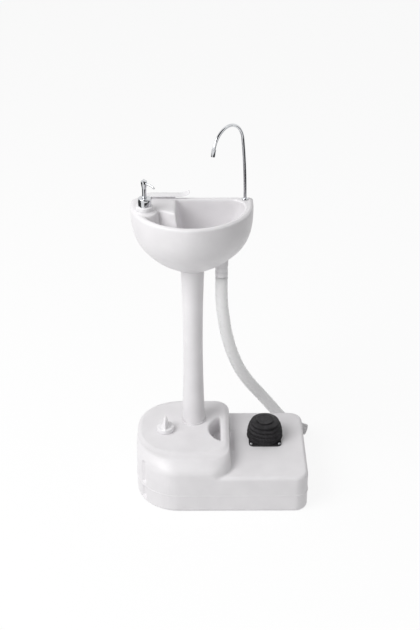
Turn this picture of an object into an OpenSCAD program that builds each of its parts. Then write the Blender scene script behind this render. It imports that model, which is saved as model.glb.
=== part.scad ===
// Portable wash basin: a water tank with a foot pump, a column, a bowl with a soap dispenser,
// a swivelling spout and a drain hose. Millimetres, +Z up, the front faces -Y.
// The origin is the middle of the tank's underside, on the floor.

/* [Tank] */
// Length of the tank over its parting flange
tank_l = 455; // [420:1:500]
// Depth of the tank, front to back, over its flange
tank_d = 308; // [285:1:340]
// Height of the low deck under the foot pump
deck_z = 110; // [98:1:116]
// Height of the raised shoulder under the column
shoulder_z = 152; // [146:1:170]
// Wall of the blow-moulded tank
tank_wall = 3; // [2:0.5:4]
// Plan radius of the round left end
end_r = 115; // [95:1:130]
// Plan radius of the right-hand corners
corner_r = 35; // [20:1:50]
// Where the shoulder's wall stands, from the tank's middle
step_x = 22; // [18:1:34]
// Height of the roll at the shoulder's front edge
brow_r = 38; // [24:1:38]
// Depth of that roll, front to back
brow_d = 58; // [38:1:66]
// Height of the parting flange's middle
flange_z = 52; // [40:1:64]

/* [Handle] */
// Length of the hand slot, front to back
slot_l = 111; // [90:1:120]
// Width of the hand slot
slot_w = 30; // [26:1:34]
// Width of the grip bar beside the slot
bar_w = 19; // [18:0.5:24]
// Thickness of the grip bar
bar_h = 21; // [16:1:24]

/* [Filler] */
// Bore of the filler neck
filler_d = 32; // [24:1:36]
// Height of the filler neck above the shoulder
filler_h = 9; // [8:1:16]
// Diameter of the screw cap
cap_d = 46; // [44:1:54]

/* [Column] */
// Visible length of the column, from shoulder to bowl
column_l = 463; // [380:1:540]
// Diameter of the column's foot
foot_d = 63; // [61:1:72]
// Diameter of the column's waist
waist_d = 51; // [46:1:56]
// Diameter of the column's top
crown_d = 61; // [60:0.5:62]
// Wall of the column
column_wall = 3; // [2:0.5:3.5]

/* [Bowl] */
// Width of the bowl
bowl_w = 305; // [290:1:330]
// Depth of the bowl, front to back
bowl_d = 193; // [188:1:215]
// Height of the bowl from the column to its rim
bowl_h = 171; // [164:1:190]
// Depth of the basin inside, from the rim to the floor
inside_h = 122; // [110:1:122]
// Skin of the double-walled bowl
bowl_wall = 3; // [2:0.5:3.5]

/* [Spout] */
// Diameter of the spout's tube
spout_d = 8; // [7:0.5:9]
// Length of the spout's riser, which bows a little forward
riser_h = 161; // [120:1:200]
// Radius of the gooseneck
neck_r = 57.5; // [45:0.5:75]

/* [Soap dispenser] */
// Diameter of the soap bottle
bottle_d = 39; // [34:1:40]
// Depth of the bottle below the rim
bottle_h = 68; // [60:1:70]
// Diameter of the pump's collar
soap_collar_d = 33; // [31:1:36]
// Stroke of the soap pump
soap_stroke = 12; // [8:1:12]

/* [Holder] */
// Length of the towel holder's arm
arm_l = 112; // [90:1:130]
// Depth of the arm, front to back
arm_w = 24; // [20:1:26]

/* [Foot pump] */
// Diameter of the bellows' widest fold
bellows_d = 98; // [94:1:104]
// Height of the bellows above its base plate
bellows_h = 52; // [46:1:60]
// Diameter of the tread on top
tread_d = 48; // [40:1:54]
// Stroke of the foot pump
pump_stroke = 32; // [20:1:32]

/* [Drain] */
// Outer diameter of the drain hose
hose_d = 32; // [30:1:34]
// Bore of the drain
drain_d = 20; // [16:1:21]

/* [Hidden] */
$fn = 64;

// Clearances
fit = 0.3;      // between pieces that slide over one another
slack = 0.6;    // round a screw or a tube in its hole
eps = 0.5;      // how far a cut runs past a face

// Colours
moulded_white = [0.93, 0.92, 0.93];
cap_white = [0.95, 0.95, 0.96];
hose_white = [0.93, 0.92, 0.94];
chrome = [0.75, 0.76, 0.78];
black_rubber = [0.16, 0.16, 0.17];
grey_rubber = [0.35, 0.35, 0.36];
steel = [0.7, 0.7, 0.72];
clear_tube = [0.85, 0.88, 0.9];

// Tank
flange_out = 1.5;
flange_h = 2.5;
half_l = tank_l / 2 - flange_out;
half_d = tank_d / 2 - flange_out;
base_edge_r = 8;
deck_edge_r = 9;
shoulder_edge_r = 10;
shoulder_front_r = 55;
shoulder_back_r = 40;
shoulder_root_z = 60;       // where the shoulder's form starts inside the low part
step_fillet = 6;
step_draft = 0.08;          // run of the step's wall for each millimetre of fall
flute_r = 9;
flute_deep = 8;
flute_turn = 34;            // degrees from the left end's middle
flute_foot = 12;
flute_band = 7;             // half height of the band left plain at the flange

// Column and bowl
column_at = [-75, 60];
crown_r = crown_d / 2 + 0.5;
foot_z = shoulder_z;
crown_z = shoulder_z + column_l;
rim_z = crown_z + bowl_h;
waist_part = 0.54;          // share of the column's length below its waist
spigot_foot_r = 29;
spigot_foot_h = 40;
spigot_crown_r = 27.5;
spigot_crown_h = 24;
collar_h = 5;
collar_wall = 2;

// Bowl forms
bowl_front_y = column_at.y + 57 - bowl_d;
bowl_back_y = column_at.y + 57;
bowl_left = column_at.x - bowl_w / 2;
bowl_right = column_at.x + bowl_w / 2;
back_left_r = 24;
back_right_r = 10;
rim_front = 12;             // width of the rim at the front
rim_back = 17;
rim_side = 23;
rim_edge_r = 7;
side_lean = 0.72;           // lower makes the sides fuller low down
basin_corner_r = 38;
floor_corner_r = 18;
floor_side = 10;            // least gap between the two skins at the basin's floor
floor_edge_r = 8;
floor_z = rim_z - inside_h;
drain_at = column_at + [74, 6];
drain_boss_r = 17;
drain_boss_z = crown_z + 3;
deck_round_r = 31;          // radius of the deck round the soap boss
deck_right = bowl_left + 113;   // right end of the deck between the boss and the back rim
deck_front_y = bowl_back_y - 101;   // where that end's front corner lies
deck_skew = 0.565;          // run of the deck's front edge to the back for each millimetre to the left
deck_lean = 0.15;           // run of the deck's walls outward for each millimetre of fall

// Soap dispenser
soap_at = [bowl_left + 37.5, bowl_back_y - 85];
boss_r = 24;
boss_h = 2.5;
soap_seat = rim_z + boss_h;
bottle_wall = 1.8;
bottle_flange_r = bottle_d / 2 + 2.5;
bottle_flange_h = 2;
bottle_neck_r = 13;
bottle_neck_h = 22;
soap_ring_r = 20.5;
soap_ring_h = 10.5;
soap_ring_z = soap_seat + bottle_flange_h;
soap_collar_z = soap_ring_z + soap_ring_h + fit;
soap_neck_top = soap_ring_z + bottle_neck_h;
soap_gasket_h = 0.8;
housing_r = 8;
housing_bore = 6.6;
housing_len = 66;
soap_collar_top = soap_neck_top + 9;
head_r = 5.5;
head_top_r = 7.8;
head_h = 53;
head_spout_drop = 11;
head_sleeve = soap_stroke + 6;
stem_r = 3;
piston_h = 8;
head_z = soap_collar_top - 4;
piston_z = soap_neck_top - 30;
dip_r = 2.6;

// Towel holder
pin_at = [bowl_left + 46.5, bowl_back_y - 11];
pin_r = 4;
pin_inset = 5;              // from the arm's front edge to the pin's middle
clip_r = 5.7;
pin_h = 16;
arm_h = 8;
arm_z = rim_z + fit;
arm_plate_h = 2.2;
arm_foot_inset = 8;         // how far the arm's foot stands back under its edges
tip_l = 27;
tip_rise = 8;
tip_end_h = 2;

// Spout
spout_at = [bowl_right - 20.5, bowl_back_y - 17];
spout_turn = -129;
spout_arc = 168;
riser_bow_r = 1030;         // radius of the riser's forward bow
bend_lap = 1.5;             // length over which the neck laps the riser
spout_r = spout_d / 2;
spout_wall = 1;
base_flange_r = 8.5;
base_flange_h = 4;
shank_r = 6.5;
shank_h = 26;
ring_r = 0.8;
nozzle_r = spout_r + 1.3;
nozzle_l = 18;
nozzle_grip = 4;            // length of the spout's end inside the nozzle

// Foot pump
pump_at = [118, 30];
plate_half = 44;
plate_h = 4;
plate_corner_r = 13;
screw_half = 37.5;
screw_r = 2;
screw_head_r = 3.8;
pump_gasket_h = 1.5;
plate_z = deck_z + pump_gasket_h;
bellows_z = plate_z + plate_h;
bellows_wall = 2;
bellows_foot_r = 43;
tread_h = 3;
cup_r = 33;
cup_h = 15;
cup_wall = 2.5;
stub_r = 5;
stub_bore = 3;
stub_h = 12;
inlet_x = 9;
outlet_x = -9;
cup_z = plate_z - cup_h;
stub_z = cup_z - stub_h;
screw_l = 14;

// Tubes
tube_r = 3.5;
tube_bore = 2.3;
filter_r = 9;
filter_wall = 2;
filter_h = 16;
filter_gap = 4;

// Hose: its middle line, from the drain to the floor behind the tank, in round numbers
hose_r = hose_d / 2;
hose_start_z = drain_boss_z - 28;
hose_route = [[-1, 66, 590], [-1, 66, 545], [1, 69, 500], [6, 76, 456], [12, 85, 412], [21, 95, 369],
    [32, 107, 327], [45, 121, 286], [61, 136, 247], [80, 151, 210], [102, 166, 173], [125, 180, 136],
    [149, 190, 99], [175, 195, 63], [208, 197, 34], [246, 197, 17]];

// Points on a quarter circle round c from the angle a
function quarter(c, r, a, n) = [for (i = [0:n]) let (t = a + 90 * i / n) c + r * [cos(t), sin(t)]];

// Round-cornered outline from corner p to corner q, radii front left, front right, back right, back left
function outline(p, q, r, n) = concat(
    quarter([p.x + r[0], p.y + r[0]], r[0], 180, n), quarter([q.x - r[1], p.y + r[1]], r[1], 270, n),
    quarter([q.x - r[2], q.y - r[2]], r[2], 0, n), quarter([p.x + r[3], q.y - r[3]], r[3], 90, n));

function lift(points, z) = [for (p = points) [p.x, p.y, z]];

// Solid through a stack of outlines, all with the same number of points, from the lowest to the highest
module loft(rings) {
    n = len(rings[0]);
    m = len(rings);
    sides = [for (k = [0:m - 2], i = [0:n - 1])
        let (a = k * n + i, b = k * n + (i + 1) % n) each [[a, a + n, b + n], [a, b + n, b]]];
    polyhedron([for (ring = rings) each ring],
        concat([[for (i = [0:n - 1]) i]], sides, [[for (i = [0:n - 1]) (m - 1) * n + n - 1 - i]]));
}

// How far a rounded edge of radius r has drawn in at height z, when its top is at z_top
function draw_in(z, z_top, r) = z <= z_top - r ? 0 : r - sqrt(max(0, r * r - pow(z - z_top + r, 2)));

// Smooth curve through chosen points, k steps to each
function bend(p, i, t) = let (n = len(p) - 1, a = p[max(0, i - 1)], b = p[i], c = p[min(n, i + 1)],
    d = p[min(n, i + 2)])
    0.5 * (2 * b + (c - a) * t + (2 * a - 5 * b + 4 * c - d) * t * t + (3 * b - a - 3 * c + d) * t * t * t);
function curve(p, k) = concat([for (i = [0:len(p) - 2], j = [0:k - 1]) bend(p, i, j / k)], [p[len(p) - 1]]);

function unit(v) = v / norm(v);
function heading(p, i) = unit(p[min(i + 1, len(p) - 1)] - p[max(i - 1, 0)]);
function side_step(s, t) = unit(s - (s * t) * t);
// Side vectors carried along the line without twist
function sides_of(p, i, s, out) = i == len(p) ? out
    : let (next = side_step(s, heading(p, i))) sides_of(p, i + 1, next, concat(out, [next]));

// Round tube along a line of points, as one solid; first is a direction square to its start
module sweep(p, r, n, first) {
    s = sides_of(p, 0, first, []);
    loft([for (i = [0:len(p) - 1]) let (t = heading(p, i), u = s[i], v = cross(t, u))
        [for (j = [0:n - 1]) p[i] + r * (u * cos(360 * j / n) + v * sin(360 * j / n))]]);
}

// Coil spring with flat-lying ends
module coil(r, wire_r, length, turns, rings, n) {
    steps = turns * rings;
    p = [for (i = [0:steps]) [r * cos(360 * i / rings), r * sin(360 * i / rings),
        wire_r + (length - 2 * wire_r) * i / steps]];
    sweep(p, wire_r, n, [1, 0, 0]);
}

module tube(r, bore, h) {
    difference() {
        cylinder(r = r, h = h);
        translate([0, 0, -eps]) cylinder(r = bore, h = h + 2 * eps);
    }
}

module at(place, z) {
    translate([place.x, place.y, z]) children();
}

// Low part of the tank, drawn in by w
module tank_low(w) {
    base_r = base_edge_r - w;
    top_r = deck_edge_r - w;
    function ring(inset, z) = lift(outline([-half_l + inset, -half_d + inset], [half_l - inset, half_d - inset],
        [end_r - inset, corner_r - inset, corner_r - inset, end_r - inset], 8), z);
    loft(concat(
        [for (a = [0:30:90]) ring(w + base_r * (1 - sin(a)), w + base_r * (1 - cos(a)))],
        [for (a = [0:30:90]) ring(w + top_r * (1 - cos(a)), deck_z - w - top_r * (1 - sin(a)))]));
}

// Right-hand face of the shoulder at height z
function step_at(z) = let (wall = step_x + step_draft * (shoulder_z - shoulder_edge_r - z), h = z - deck_z)
    h >= step_fillet ? wall : let (root = step_x + step_draft * (shoulder_z - shoulder_edge_r - deck_z
    - step_fillet)) root + step_fillet - sqrt(max(0, step_fillet * step_fillet - pow(step_fillet - max(0, h), 2)));

// Raised part of the tank, drawn in by w
module tank_shoulder(w) {
    top = shoulder_z - w;
    brow = min(brow_r, shoulder_z - deck_z - 4) - w;
    edge = shoulder_edge_r - w;
    levels = concat([shoulder_root_z, deck_z - w, deck_z - w + 1, deck_z - w + 3],
        [for (a = [0:10:90]) top - brow * (1 - sin(a))]);
    loft([for (z = levels)
        let (side = w + draw_in(z, top, edge), front = w + (brow_d - w) / brow * draw_in(z, top, brow))
        lift(outline([-half_l + side, -half_d + front], [step_at(z + w) - side, half_d - side],
            [end_r - side, shoulder_front_r - side, shoulder_back_r - side, end_r - side], 8), z)]);
}

// Hand slot in plan: a round left side and a straight right side
slot_right = step_x - 6 - bar_w;
slot_mid_y = 15;
slot_bow_r = (pow(slot_l / 2, 2) + slot_w * slot_w) / (2 * slot_w);
tunnel_z = deck_z - 10;
module slot_plan(grow) {
    intersection() {
        translate([slot_right - slot_w + slot_bow_r, slot_mid_y]) circle(r = slot_bow_r + grow, $fn = 120);
        translate([slot_right - slot_w - grow, slot_mid_y - slot_l / 2 - grow])
            square([slot_w + 2 * grow, slot_l + 2 * grow]);
    }
}

// Hand slot from the top and the finger space under the grip bar, grown by w
module hand_space(w) {
    translate([0, 0, tunnel_z - w]) linear_extrude(shoulder_z - tunnel_z + w + eps) slot_plan(w);
    reach = step_x + 20 - slot_right + slot_w / 2;
    long = slot_l - 24 + 2 * w;
    translate([slot_right - slot_w / 2, slot_mid_y - long / 2, 0])
        rotate([-90, 0, 0]) linear_extrude(long)
            polygon([[0, -tunnel_z + w], [reach - 18, -tunnel_z + w], [reach + w, -deck_z - eps],
                [reach + w, -shoulder_z + bar_h - w], [0, -shoulder_z + bar_h - w]]);
}

// Column's seat in the tank, grown by w
module foot_socket(w) {
    at(column_at, shoulder_z - spigot_foot_h - fit - w)
        cylinder(r = spigot_foot_r + fit + w, h = spigot_foot_h + fit + w + eps);
}

// Upright flutes moulded in the round left end, grown by w
module flutes(w) {
    for (turn = [180 - flute_turn, 180 + flute_turn]) {
        centre = [-half_l + end_r, (turn > 180 ? -1 : 1) * (half_d - end_r)];
        place = centre + (end_r + flute_r - flute_deep) * [cos(turn), sin(turn)];
        at(place, flute_foot - w) cylinder(r = flute_r + w, h = flange_z - flute_band - flute_foot + 2 * w);
        at(place, flange_z + flute_band - w)
            cylinder(r = flute_r + w, h = shoulder_z - brow_r - flange_z - flute_band + 12 + 2 * w);
    }
}

filler_at = [76 - half_l, 6];
filler_r = filler_d / 2 + 3;

module tank() {
    color(moulded_white) difference() {
        union() {
            difference() {
                union() {
                    tank_low(0);
                    tank_shoulder(0);
                    translate([0, 0, flange_z - flange_h / 2]) linear_extrude(flange_h)
                        polygon(outline([-tank_l / 2, -tank_d / 2], [tank_l / 2, tank_d / 2],
                            [end_r, corner_r, corner_r, end_r] + [1, 1, 1, 1] * flange_out, 8));
                }
                difference() {
                    union() {
                        tank_low(tank_wall);
                        tank_shoulder(tank_wall);
                    }
                    hand_space(tank_wall);
                    foot_socket(tank_wall);
                    flutes(tank_wall);
                }
            }
            at(filler_at, shoulder_z - tank_wall) cylinder(r = filler_r, h = filler_h + tank_wall);
        }
        hand_space(0);
        foot_socket(0);
        flutes(0);
        at(column_at, shoulder_z - spigot_foot_h - 2 * tank_wall) cylinder(r = tube_r + slack, h = 3 * tank_wall);
        at(filler_at, shoulder_z - tank_wall - eps) cylinder(r = filler_d / 2, h = filler_h + tank_wall + 2 * eps);
        at(pump_at, deck_z - tank_wall - eps) cylinder(r = cup_r + slack, h = tank_wall + 2 * eps);
        pump_corners(screw_half) translate([0, 0, deck_z - tank_wall - eps])
            cylinder(r = screw_r + slack / 4, h = tank_wall + 2 * eps);
    }
}

cap_wall = 2.5;
cap_gasket_h = 1.5;
cap_ceiling = shoulder_z + filler_h + cap_gasket_h;
blade_l = 42;
blade_w = 19;
blade_h = 26;
module fill_cap() {
    color(cap_white) at(filler_at, 0) {
        difference() {
            translate([0, 0, shoulder_z + fit]) cylinder(r = cap_d / 2, h = cap_ceiling + 3.5 - shoulder_z - fit);
            translate([0, 0, shoulder_z]) cylinder(r = filler_r + slack, h = cap_ceiling - shoulder_z);
        }
        translate([0, 0, cap_ceiling + 3]) hull() for (s = [-1, 1]) {
            translate([0, s * (blade_l - blade_w) / 2, 0]) cylinder(r = blade_w / 2, h = 1, $fn = 32);
            translate([0, s * (blade_l - blade_w) / 3, blade_h - 1]) cylinder(r = blade_w / 3, h = 1, $fn = 32);
        }
    }
}

module fill_cap_gasket() {
    color(grey_rubber) at(filler_at, cap_ceiling - cap_gasket_h) tube(filler_r, filler_d / 2 - 1, cap_gasket_h);
}

// Outer radius of the column at height z
function column_r(z) = let (t = (z - foot_z) / column_l, w = waist_part)
    waist_d / 2 + (t < w ? (foot_d - waist_d) / 2 * pow((w - t) / w, 2)
        : (crown_d - waist_d) / 2 * pow((t - w) / (1 - w), 2));

module column() {
    levels = [for (i = [0:16]) foot_z + column_l * i / 16];
    outer = [for (z = levels) [column_r(z), z]];
    inner = [for (i = [16:-1:0]) [column_r(levels[i]) - column_wall, levels[i]]];
    color(moulded_white) at(column_at, 0) rotate_extrude() polygon(concat(
        [[spigot_foot_r - column_wall, foot_z - spigot_foot_h], [spigot_foot_r, foot_z - spigot_foot_h],
            [spigot_foot_r, foot_z]],
        outer,
        [[spigot_crown_r, crown_z], [spigot_crown_r, crown_z + spigot_crown_h],
            [spigot_crown_r - column_wall, crown_z + spigot_crown_h], [spigot_crown_r - column_wall, crown_z - 4]],
        [for (i = [1:15]) inner[i]],
        [[spigot_foot_r - column_wall, foot_z + 6]]));
}

module column_collar() {
    bore = foot_d / 2 + fit;
    color(moulded_white) at(column_at, foot_z) rotate_extrude()
        polygon([[bore, 0], [bore + collar_wall, 0], [bore + collar_wall, collar_h - 2],
            [bore + collar_wall - 1, collar_h], [bore, collar_h]]);
}

// Share of the bowl's spread reached at height z, for its sides and for its front
function spread(z, power, lean) = pow(1 - pow(1 - max(0, min(1, (z - crown_z) / bowl_h)), power), lean);

// The bowl's outline at height z, drawn in by front, side and back, with the back corners' radii
function bowl_outline(z, front, side, back, right_r, left_r) = let (s = spread(z, 3, side_lean),
    f = spread(z, 3.35, 1.36),
    half = crown_r + (bowl_w / 2 - crown_r) * s - side,
    front_y = column_at.y - crown_r + (bowl_front_y - column_at.y + crown_r) * f + front,
    back_y = column_at.y + crown_r + (bowl_back_y - column_at.y - crown_r) * s - back,
    right = min(half, right_r), left = min(half, left_r), deep = back_y - front_y)
    outline([column_at.x - half, front_y], [column_at.x + half, back_y],
        [min(half, deep - left), min(half, deep - right), right, left], 9);

// Outside of the bowl, drawn in by w
module bowl_outside(w) {
    top = rim_z - w;
    edge = rim_edge_r - w;
    levels = concat([for (t = [0, 0.025, 0.06, 0.11, 0.18, 0.27, 0.38, 0.52, 0.7, 0.88]) crown_z + bowl_h * t],
        [for (a = [0:30:90]) top - edge * (1 - sin(a))]);
    loft([for (level = levels) let (z = max(crown_z + w, level), e = w + draw_in(z, top, edge),
            s = spread(z, 3, side_lean))
        lift(bowl_outline(z, e, e, e, max(0.5, crown_r + (back_right_r - crown_r) * s - e),
            max(0.5, crown_r + (back_left_r - crown_r) * s - e)), z)]);
}

// Inside of the basin, grown by w, from its floor to above the rim
module basin_inside(w) {
    low = floor_z - w;
    edge = floor_edge_r + w;
    levels = concat([for (a = [0:30:90]) low + edge * (1 - cos(a))],
        [for (t = [0.25, 0.42, 0.6, 0.8, 1]) low + (rim_z - low) * t]);
    rings = [for (z = levels) let (u = (z - low) / (rim_z - low),
            e = z < low + edge ? edge - sqrt(edge * edge - pow(low + edge - z, 2)) : 0,
            side = floor_side + (rim_side - floor_side) * u,
            corner_r = floor_corner_r + (basin_corner_r - floor_corner_r) * u + w)
        bowl_outline(z, rim_front + e - w, side + e - w, rim_back + e - w, corner_r, corner_r)];
    loft(concat([for (i = [0:len(levels) - 1]) lift(rings[i], levels[i])],
        [lift(rings[len(levels) - 1], rim_z + 1)]));
}

// What stands in the basin's corner, drawn in by w: the deck round the soap boss and on to the back rim,
// on walls that lean out a little on their way down
module basin_corner(w) {
    low = floor_z - floor_edge_r;
    high = rim_z + 2;
    slant = sqrt(1 + deck_skew * deck_skew);
    loft([for (z = [low, high])
        let (e = deck_lean * (rim_z - z) - w, right = deck_right + e)
        lift([[bowl_left, deck_front_y + deck_skew * (deck_right - bowl_left) - slant * e],
            [right, deck_front_y - (deck_skew + slant) * e], [right, bowl_back_y], [bowl_left, bowl_back_y]], z)]);
    at(soap_at, low) cylinder(r1 = deck_round_r + deck_lean * (rim_z - low) - w,
        r2 = deck_round_r + deck_lean * (rim_z - high) - w, h = high - low);
}

module basin() {
    color(moulded_white) difference() {
        union() {
            difference() {
                bowl_outside(0);
                difference() {
                    basin_inside(0);
                    basin_corner(0);
                }
                difference() {
                    bowl_outside(bowl_wall);
                    difference() {
                        basin_inside(bowl_wall);
                        basin_corner(bowl_wall);
                    }
                    at(column_at, crown_z) cylinder(r = spigot_crown_r + fit + bowl_wall, h = spigot_crown_h
                        + fit + bowl_wall);
                    at(drain_at, crown_z) cylinder(r = drain_boss_r, h = floor_z - crown_z);
                }
            }
            at(drain_at, drain_boss_z) cylinder(r = drain_boss_r, h = floor_z - drain_boss_z);
            at(soap_at, rim_z - 1.5) cylinder(r = boss_r, h = boss_h + 1.5);
        }
        at(column_at, crown_z - eps) cylinder(r = spigot_crown_r + fit, h = spigot_crown_h + fit + eps);
        at(column_at, crown_z) cylinder(r = spigot_crown_r - 7, h = spigot_crown_h + 2 * bowl_wall + fit);
        at(drain_at, drain_boss_z - eps) cylinder(r = drain_d / 2 + 2 + fit, h = floor_z - drain_boss_z + 2 * eps);
        at(soap_at, rim_z - bowl_wall - eps) cylinder(r = bottle_d / 2 + fit, h = bowl_wall + boss_h + 2 * eps);
        at(spout_at, rim_z - bowl_wall - eps) cylinder(r = shank_r + fit, h = bowl_wall + 2 * eps);
        at(pin_at, rim_z - bowl_wall - eps) cylinder(r = pin_r + fit, h = bowl_wall + 2 * eps);
    }
}

// Drain
drain_r = drain_d / 2 + 2;
strainer_h = 2;
drain_gasket_h = 1.5;
drain_nut_h = 12;
module drain_strainer() {
    flange_r = drain_r + 3;
    color(chrome) at(drain_at, 0) {
        difference() {
            union() {
                translate([0, 0, floor_z]) cylinder(r1 = flange_r, r2 = flange_r - 1, h = strainer_h);
                translate([0, 0, hose_start_z]) cylinder(r = drain_r, h = floor_z - hose_start_z);
            }
            translate([0, 0, hose_start_z - eps]) cylinder(r = drain_d / 2, h = floor_z - hose_start_z - 2);
            for (turn = [0:60:300]) rotate(turn) translate([drain_d / 2 - 3.6, 0, floor_z - 8])
                cylinder(r = 2.3, h = 12);
            translate([0, 0, floor_z - 8]) cylinder(r = 2.3, h = 12);
        }
    }
}
module drain_gasket() {
    color(grey_rubber) at(drain_at, drain_boss_z - drain_gasket_h)
        tube(drain_boss_r - 1, drain_r + fit / 2, drain_gasket_h);
}
module drain_nut() {
    color(cap_white) at(drain_at, drain_boss_z - drain_gasket_h - drain_nut_h) difference() {
        cylinder(r = drain_boss_r - 1, h = drain_nut_h, $fn = 8);
        translate([0, 0, -eps]) cylinder(r = drain_r + fit / 2, h = drain_nut_h + 2 * eps);
    }
}
module hose_cuff() {
    color(hose_white) at(drain_at, hose_start_z)
        tube(hose_r + 0.5, drain_r + fit / 2, drain_boss_z - drain_gasket_h - drain_nut_h - hose_start_z);
}
module drain_hose() {
    route = concat([[drain_at.x, drain_at.y, hose_start_z]], [for (i = [1:len(hose_route) - 1]) hose_route[i]]);
    color(hose_white) sweep(curve(route, 1), hose_r, 12, [1, 0, 0]);
}

// Soap dispenser
module soap_bottle() {
    r = bottle_d / 2;
    low = rim_z - bottle_h;
    w = bottle_wall;
    color(cap_white) at(soap_at, 0) rotate_extrude() polygon([[0, low], [r - 4, low], [r, low + 4],
        [r, soap_seat], [bottle_flange_r, soap_seat], [bottle_flange_r, soap_ring_z],
        [bottle_neck_r, soap_ring_z], [bottle_neck_r, soap_neck_top], [bottle_neck_r - w, soap_neck_top],
        [bottle_neck_r - w, soap_seat - 1], [r - w, soap_seat - 7], [r - w, low + 4 + w / 2], [r - 4 - w / 2, low + w],
        [0, low + w]]);
}
module soap_ring() {
    color(moulded_white) at(soap_at, soap_ring_z) rotate_extrude() polygon([[bottle_neck_r + fit, 0],
        [soap_ring_r, 0], [soap_ring_r, soap_ring_h - 2], [soap_ring_r - 2, soap_ring_h],
        [bottle_neck_r + fit, soap_ring_h]]);
}
module soap_collar() {
    r = soap_collar_d / 2;
    ceiling = soap_neck_top + soap_gasket_h + 1.5 + fit;
    color(chrome) at(soap_at, 0) rotate_extrude() polygon([[bottle_neck_r + fit, soap_collar_z],
        [r, soap_collar_z], [r, soap_collar_top - 2], [r - 2, soap_collar_top], [head_r + slack, soap_collar_top],
        [head_r + slack, ceiling], [bottle_neck_r + fit, ceiling]]);
}
module soap_gasket() {
    color(grey_rubber) at(soap_at, soap_neck_top) tube(bottle_neck_r, housing_r + fit, soap_gasket_h);
}
module soap_housing() {
    top = soap_neck_top + soap_gasket_h;
    low = top - housing_len;
    color(cap_white) at(soap_at, 0) rotate_extrude() polygon([[housing_bore, low + 6], [housing_bore, top + 1.5],
        [bottle_neck_r - 0.2, top + 1.5], [bottle_neck_r - 0.2, top], [housing_r, top], [housing_r, low + 4],
        [dip_r + 1.4, low], [dip_r + 1.4, low - 8], [dip_r, low - 8], [dip_r, low - 1], [1.5, low - 1], [1.5, low + 2]]);
}
module soap_stem() {
    color(cap_white) at(soap_at, 0) {
        translate([0, 0, piston_z]) cylinder(r = housing_bore - fit, h = piston_h);
        translate([0, 0, piston_z]) tube(stem_r, 1.2, head_z + head_sleeve - piston_z);
    }
}
module soap_spring() {
    low = soap_neck_top + soap_gasket_h - housing_len + 6;
    color(steel) at(soap_at, low) coil(4.6, 0.6, piston_z - low, 6, 10, 6);
}
module soap_dip_tube() {
    low = rim_z - bottle_h + bottle_wall + 3;
    high = soap_neck_top + soap_gasket_h - housing_len - 1;
    color(clear_tube) at(soap_at, low) tube(dip_r - 0.1, 1.4, high - low);
}
module soap_head() {
    color(chrome) at(soap_at, head_z) {
        difference() {
            rotate_extrude() polygon([[0, 0], [head_r, 0], [head_r, head_sleeve], [head_top_r, head_h - 3],
                [head_top_r - 1.5, head_h], [0, head_h]]);
            translate([0, 0, -eps]) cylinder(r = stem_r + 0.05, h = head_sleeve + eps);
        }
        rotate(-38) translate([0, 0, head_h - head_spout_drop]) rotate([0, 90 + 8, 0]) difference() {
            cylinder(r1 = 2.6, r2 = 1.9, h = 33);
            translate([0, 0, 12]) cylinder(r = 1.1, h = 22);
        }
    }
}

// Towel holder: a flat arm on an upright pin, with a foot set back under it and an upturned tip
module holder_arm() {
    front = pin_at.y - pin_inset;
    middle_y = front + arm_w / 2;
    plate_z = arm_z + arm_h - arm_plate_h;
    tip_x = pin_at.x - arm_w / 2 + arm_l - tip_l;
    steps = [0:0.125:1];
    low_edge = [for (t = steps) [tip_x + tip_l * t, -plate_z - tip_rise * t * t]];
    top_edge = [for (t = steps) [tip_x + tip_l * (1 - t), -plate_z - tip_rise * (1 - t) * (1 - t)
        - tip_end_h * (1 - t) - arm_plate_h * t]];
    color(cap_white) {
        translate([pin_at.x, front, plate_z]) cube([tip_x - pin_at.x + 1, arm_w, arm_plate_h]);
        translate([pin_at.x, middle_y, plate_z]) cylinder(r = arm_w / 2, h = arm_plate_h);
        translate([0, front, 0]) rotate([-90, 0, 0]) linear_extrude(arm_w) polygon(concat(low_edge, top_edge));
        translate([pin_at.x, front + arm_foot_inset, arm_z])
            cube([tip_x - pin_at.x - arm_foot_inset, arm_w - 2 * arm_foot_inset, arm_h - 1]);
        translate([pin_at.x, middle_y, arm_z]) cylinder(r = arm_w / 2 - arm_foot_inset, h = arm_h - 1);
        at(pin_at, arm_z - pin_h) cylinder(r = pin_r, h = pin_h + arm_h - 1);
    }
}
module holder_clip() {
    color(grey_rubber) at(pin_at, rim_z - bowl_wall - 5) tube(clip_r, pin_r, 4.5);
}

// Spout
module faucet_base() {
    color(chrome) at(spout_at, 0) difference() {
        union() {
            translate([0, 0, rim_z]) cylinder(r1 = base_flange_r, r2 = base_flange_r - 1.5, h = base_flange_h);
            translate([0, 0, rim_z - shank_h]) cylinder(r = shank_r, h = shank_h + 1);
        }
        translate([0, 0, rim_z - shank_h + 3]) cylinder(r = spout_r + 0.08, h = shank_h + base_flange_h);
        translate([0, 0, rim_z - shank_h - eps]) cylinder(r = tube_bore, h = shank_h);
        translate([0, 0, rim_z - shank_h + 12]) rotate_extrude() translate([spout_r + 0.08 + ring_r, 0])
            square([2 * ring_r, 2 * ring_r + 0.2], center = true);
    }
}
module faucet_o_ring() {
    color(black_rubber) at(spout_at, rim_z - shank_h + 12) rotate_extrude()
        translate([spout_r + 0.08 + ring_r, 0]) circle(r = ring_r - 0.02, $fn = 24);
}
washer_r = 9.8;
washer_h = 1.5;
module faucet_washer() {
    color(grey_rubber) at(spout_at, rim_z - bowl_wall - washer_h) tube(washer_r, shank_r + fit / 2, washer_h);
}
module faucet_lock_nut() {
    color(steel) at(spout_at, rim_z - bowl_wall - washer_h - 6) difference() {
        cylinder(r = 10.5, h = 6, $fn = 6);
        translate([0, 0, -eps]) cylinder(r = shank_r + fit / 2, h = 6 + 2 * eps);
    }
}
spout_foot_z = rim_z - shank_h + 4;
riser_z = rim_z + base_flange_h;
riser_turn = riser_h / riser_bow_r * 180 / PI;
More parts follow.
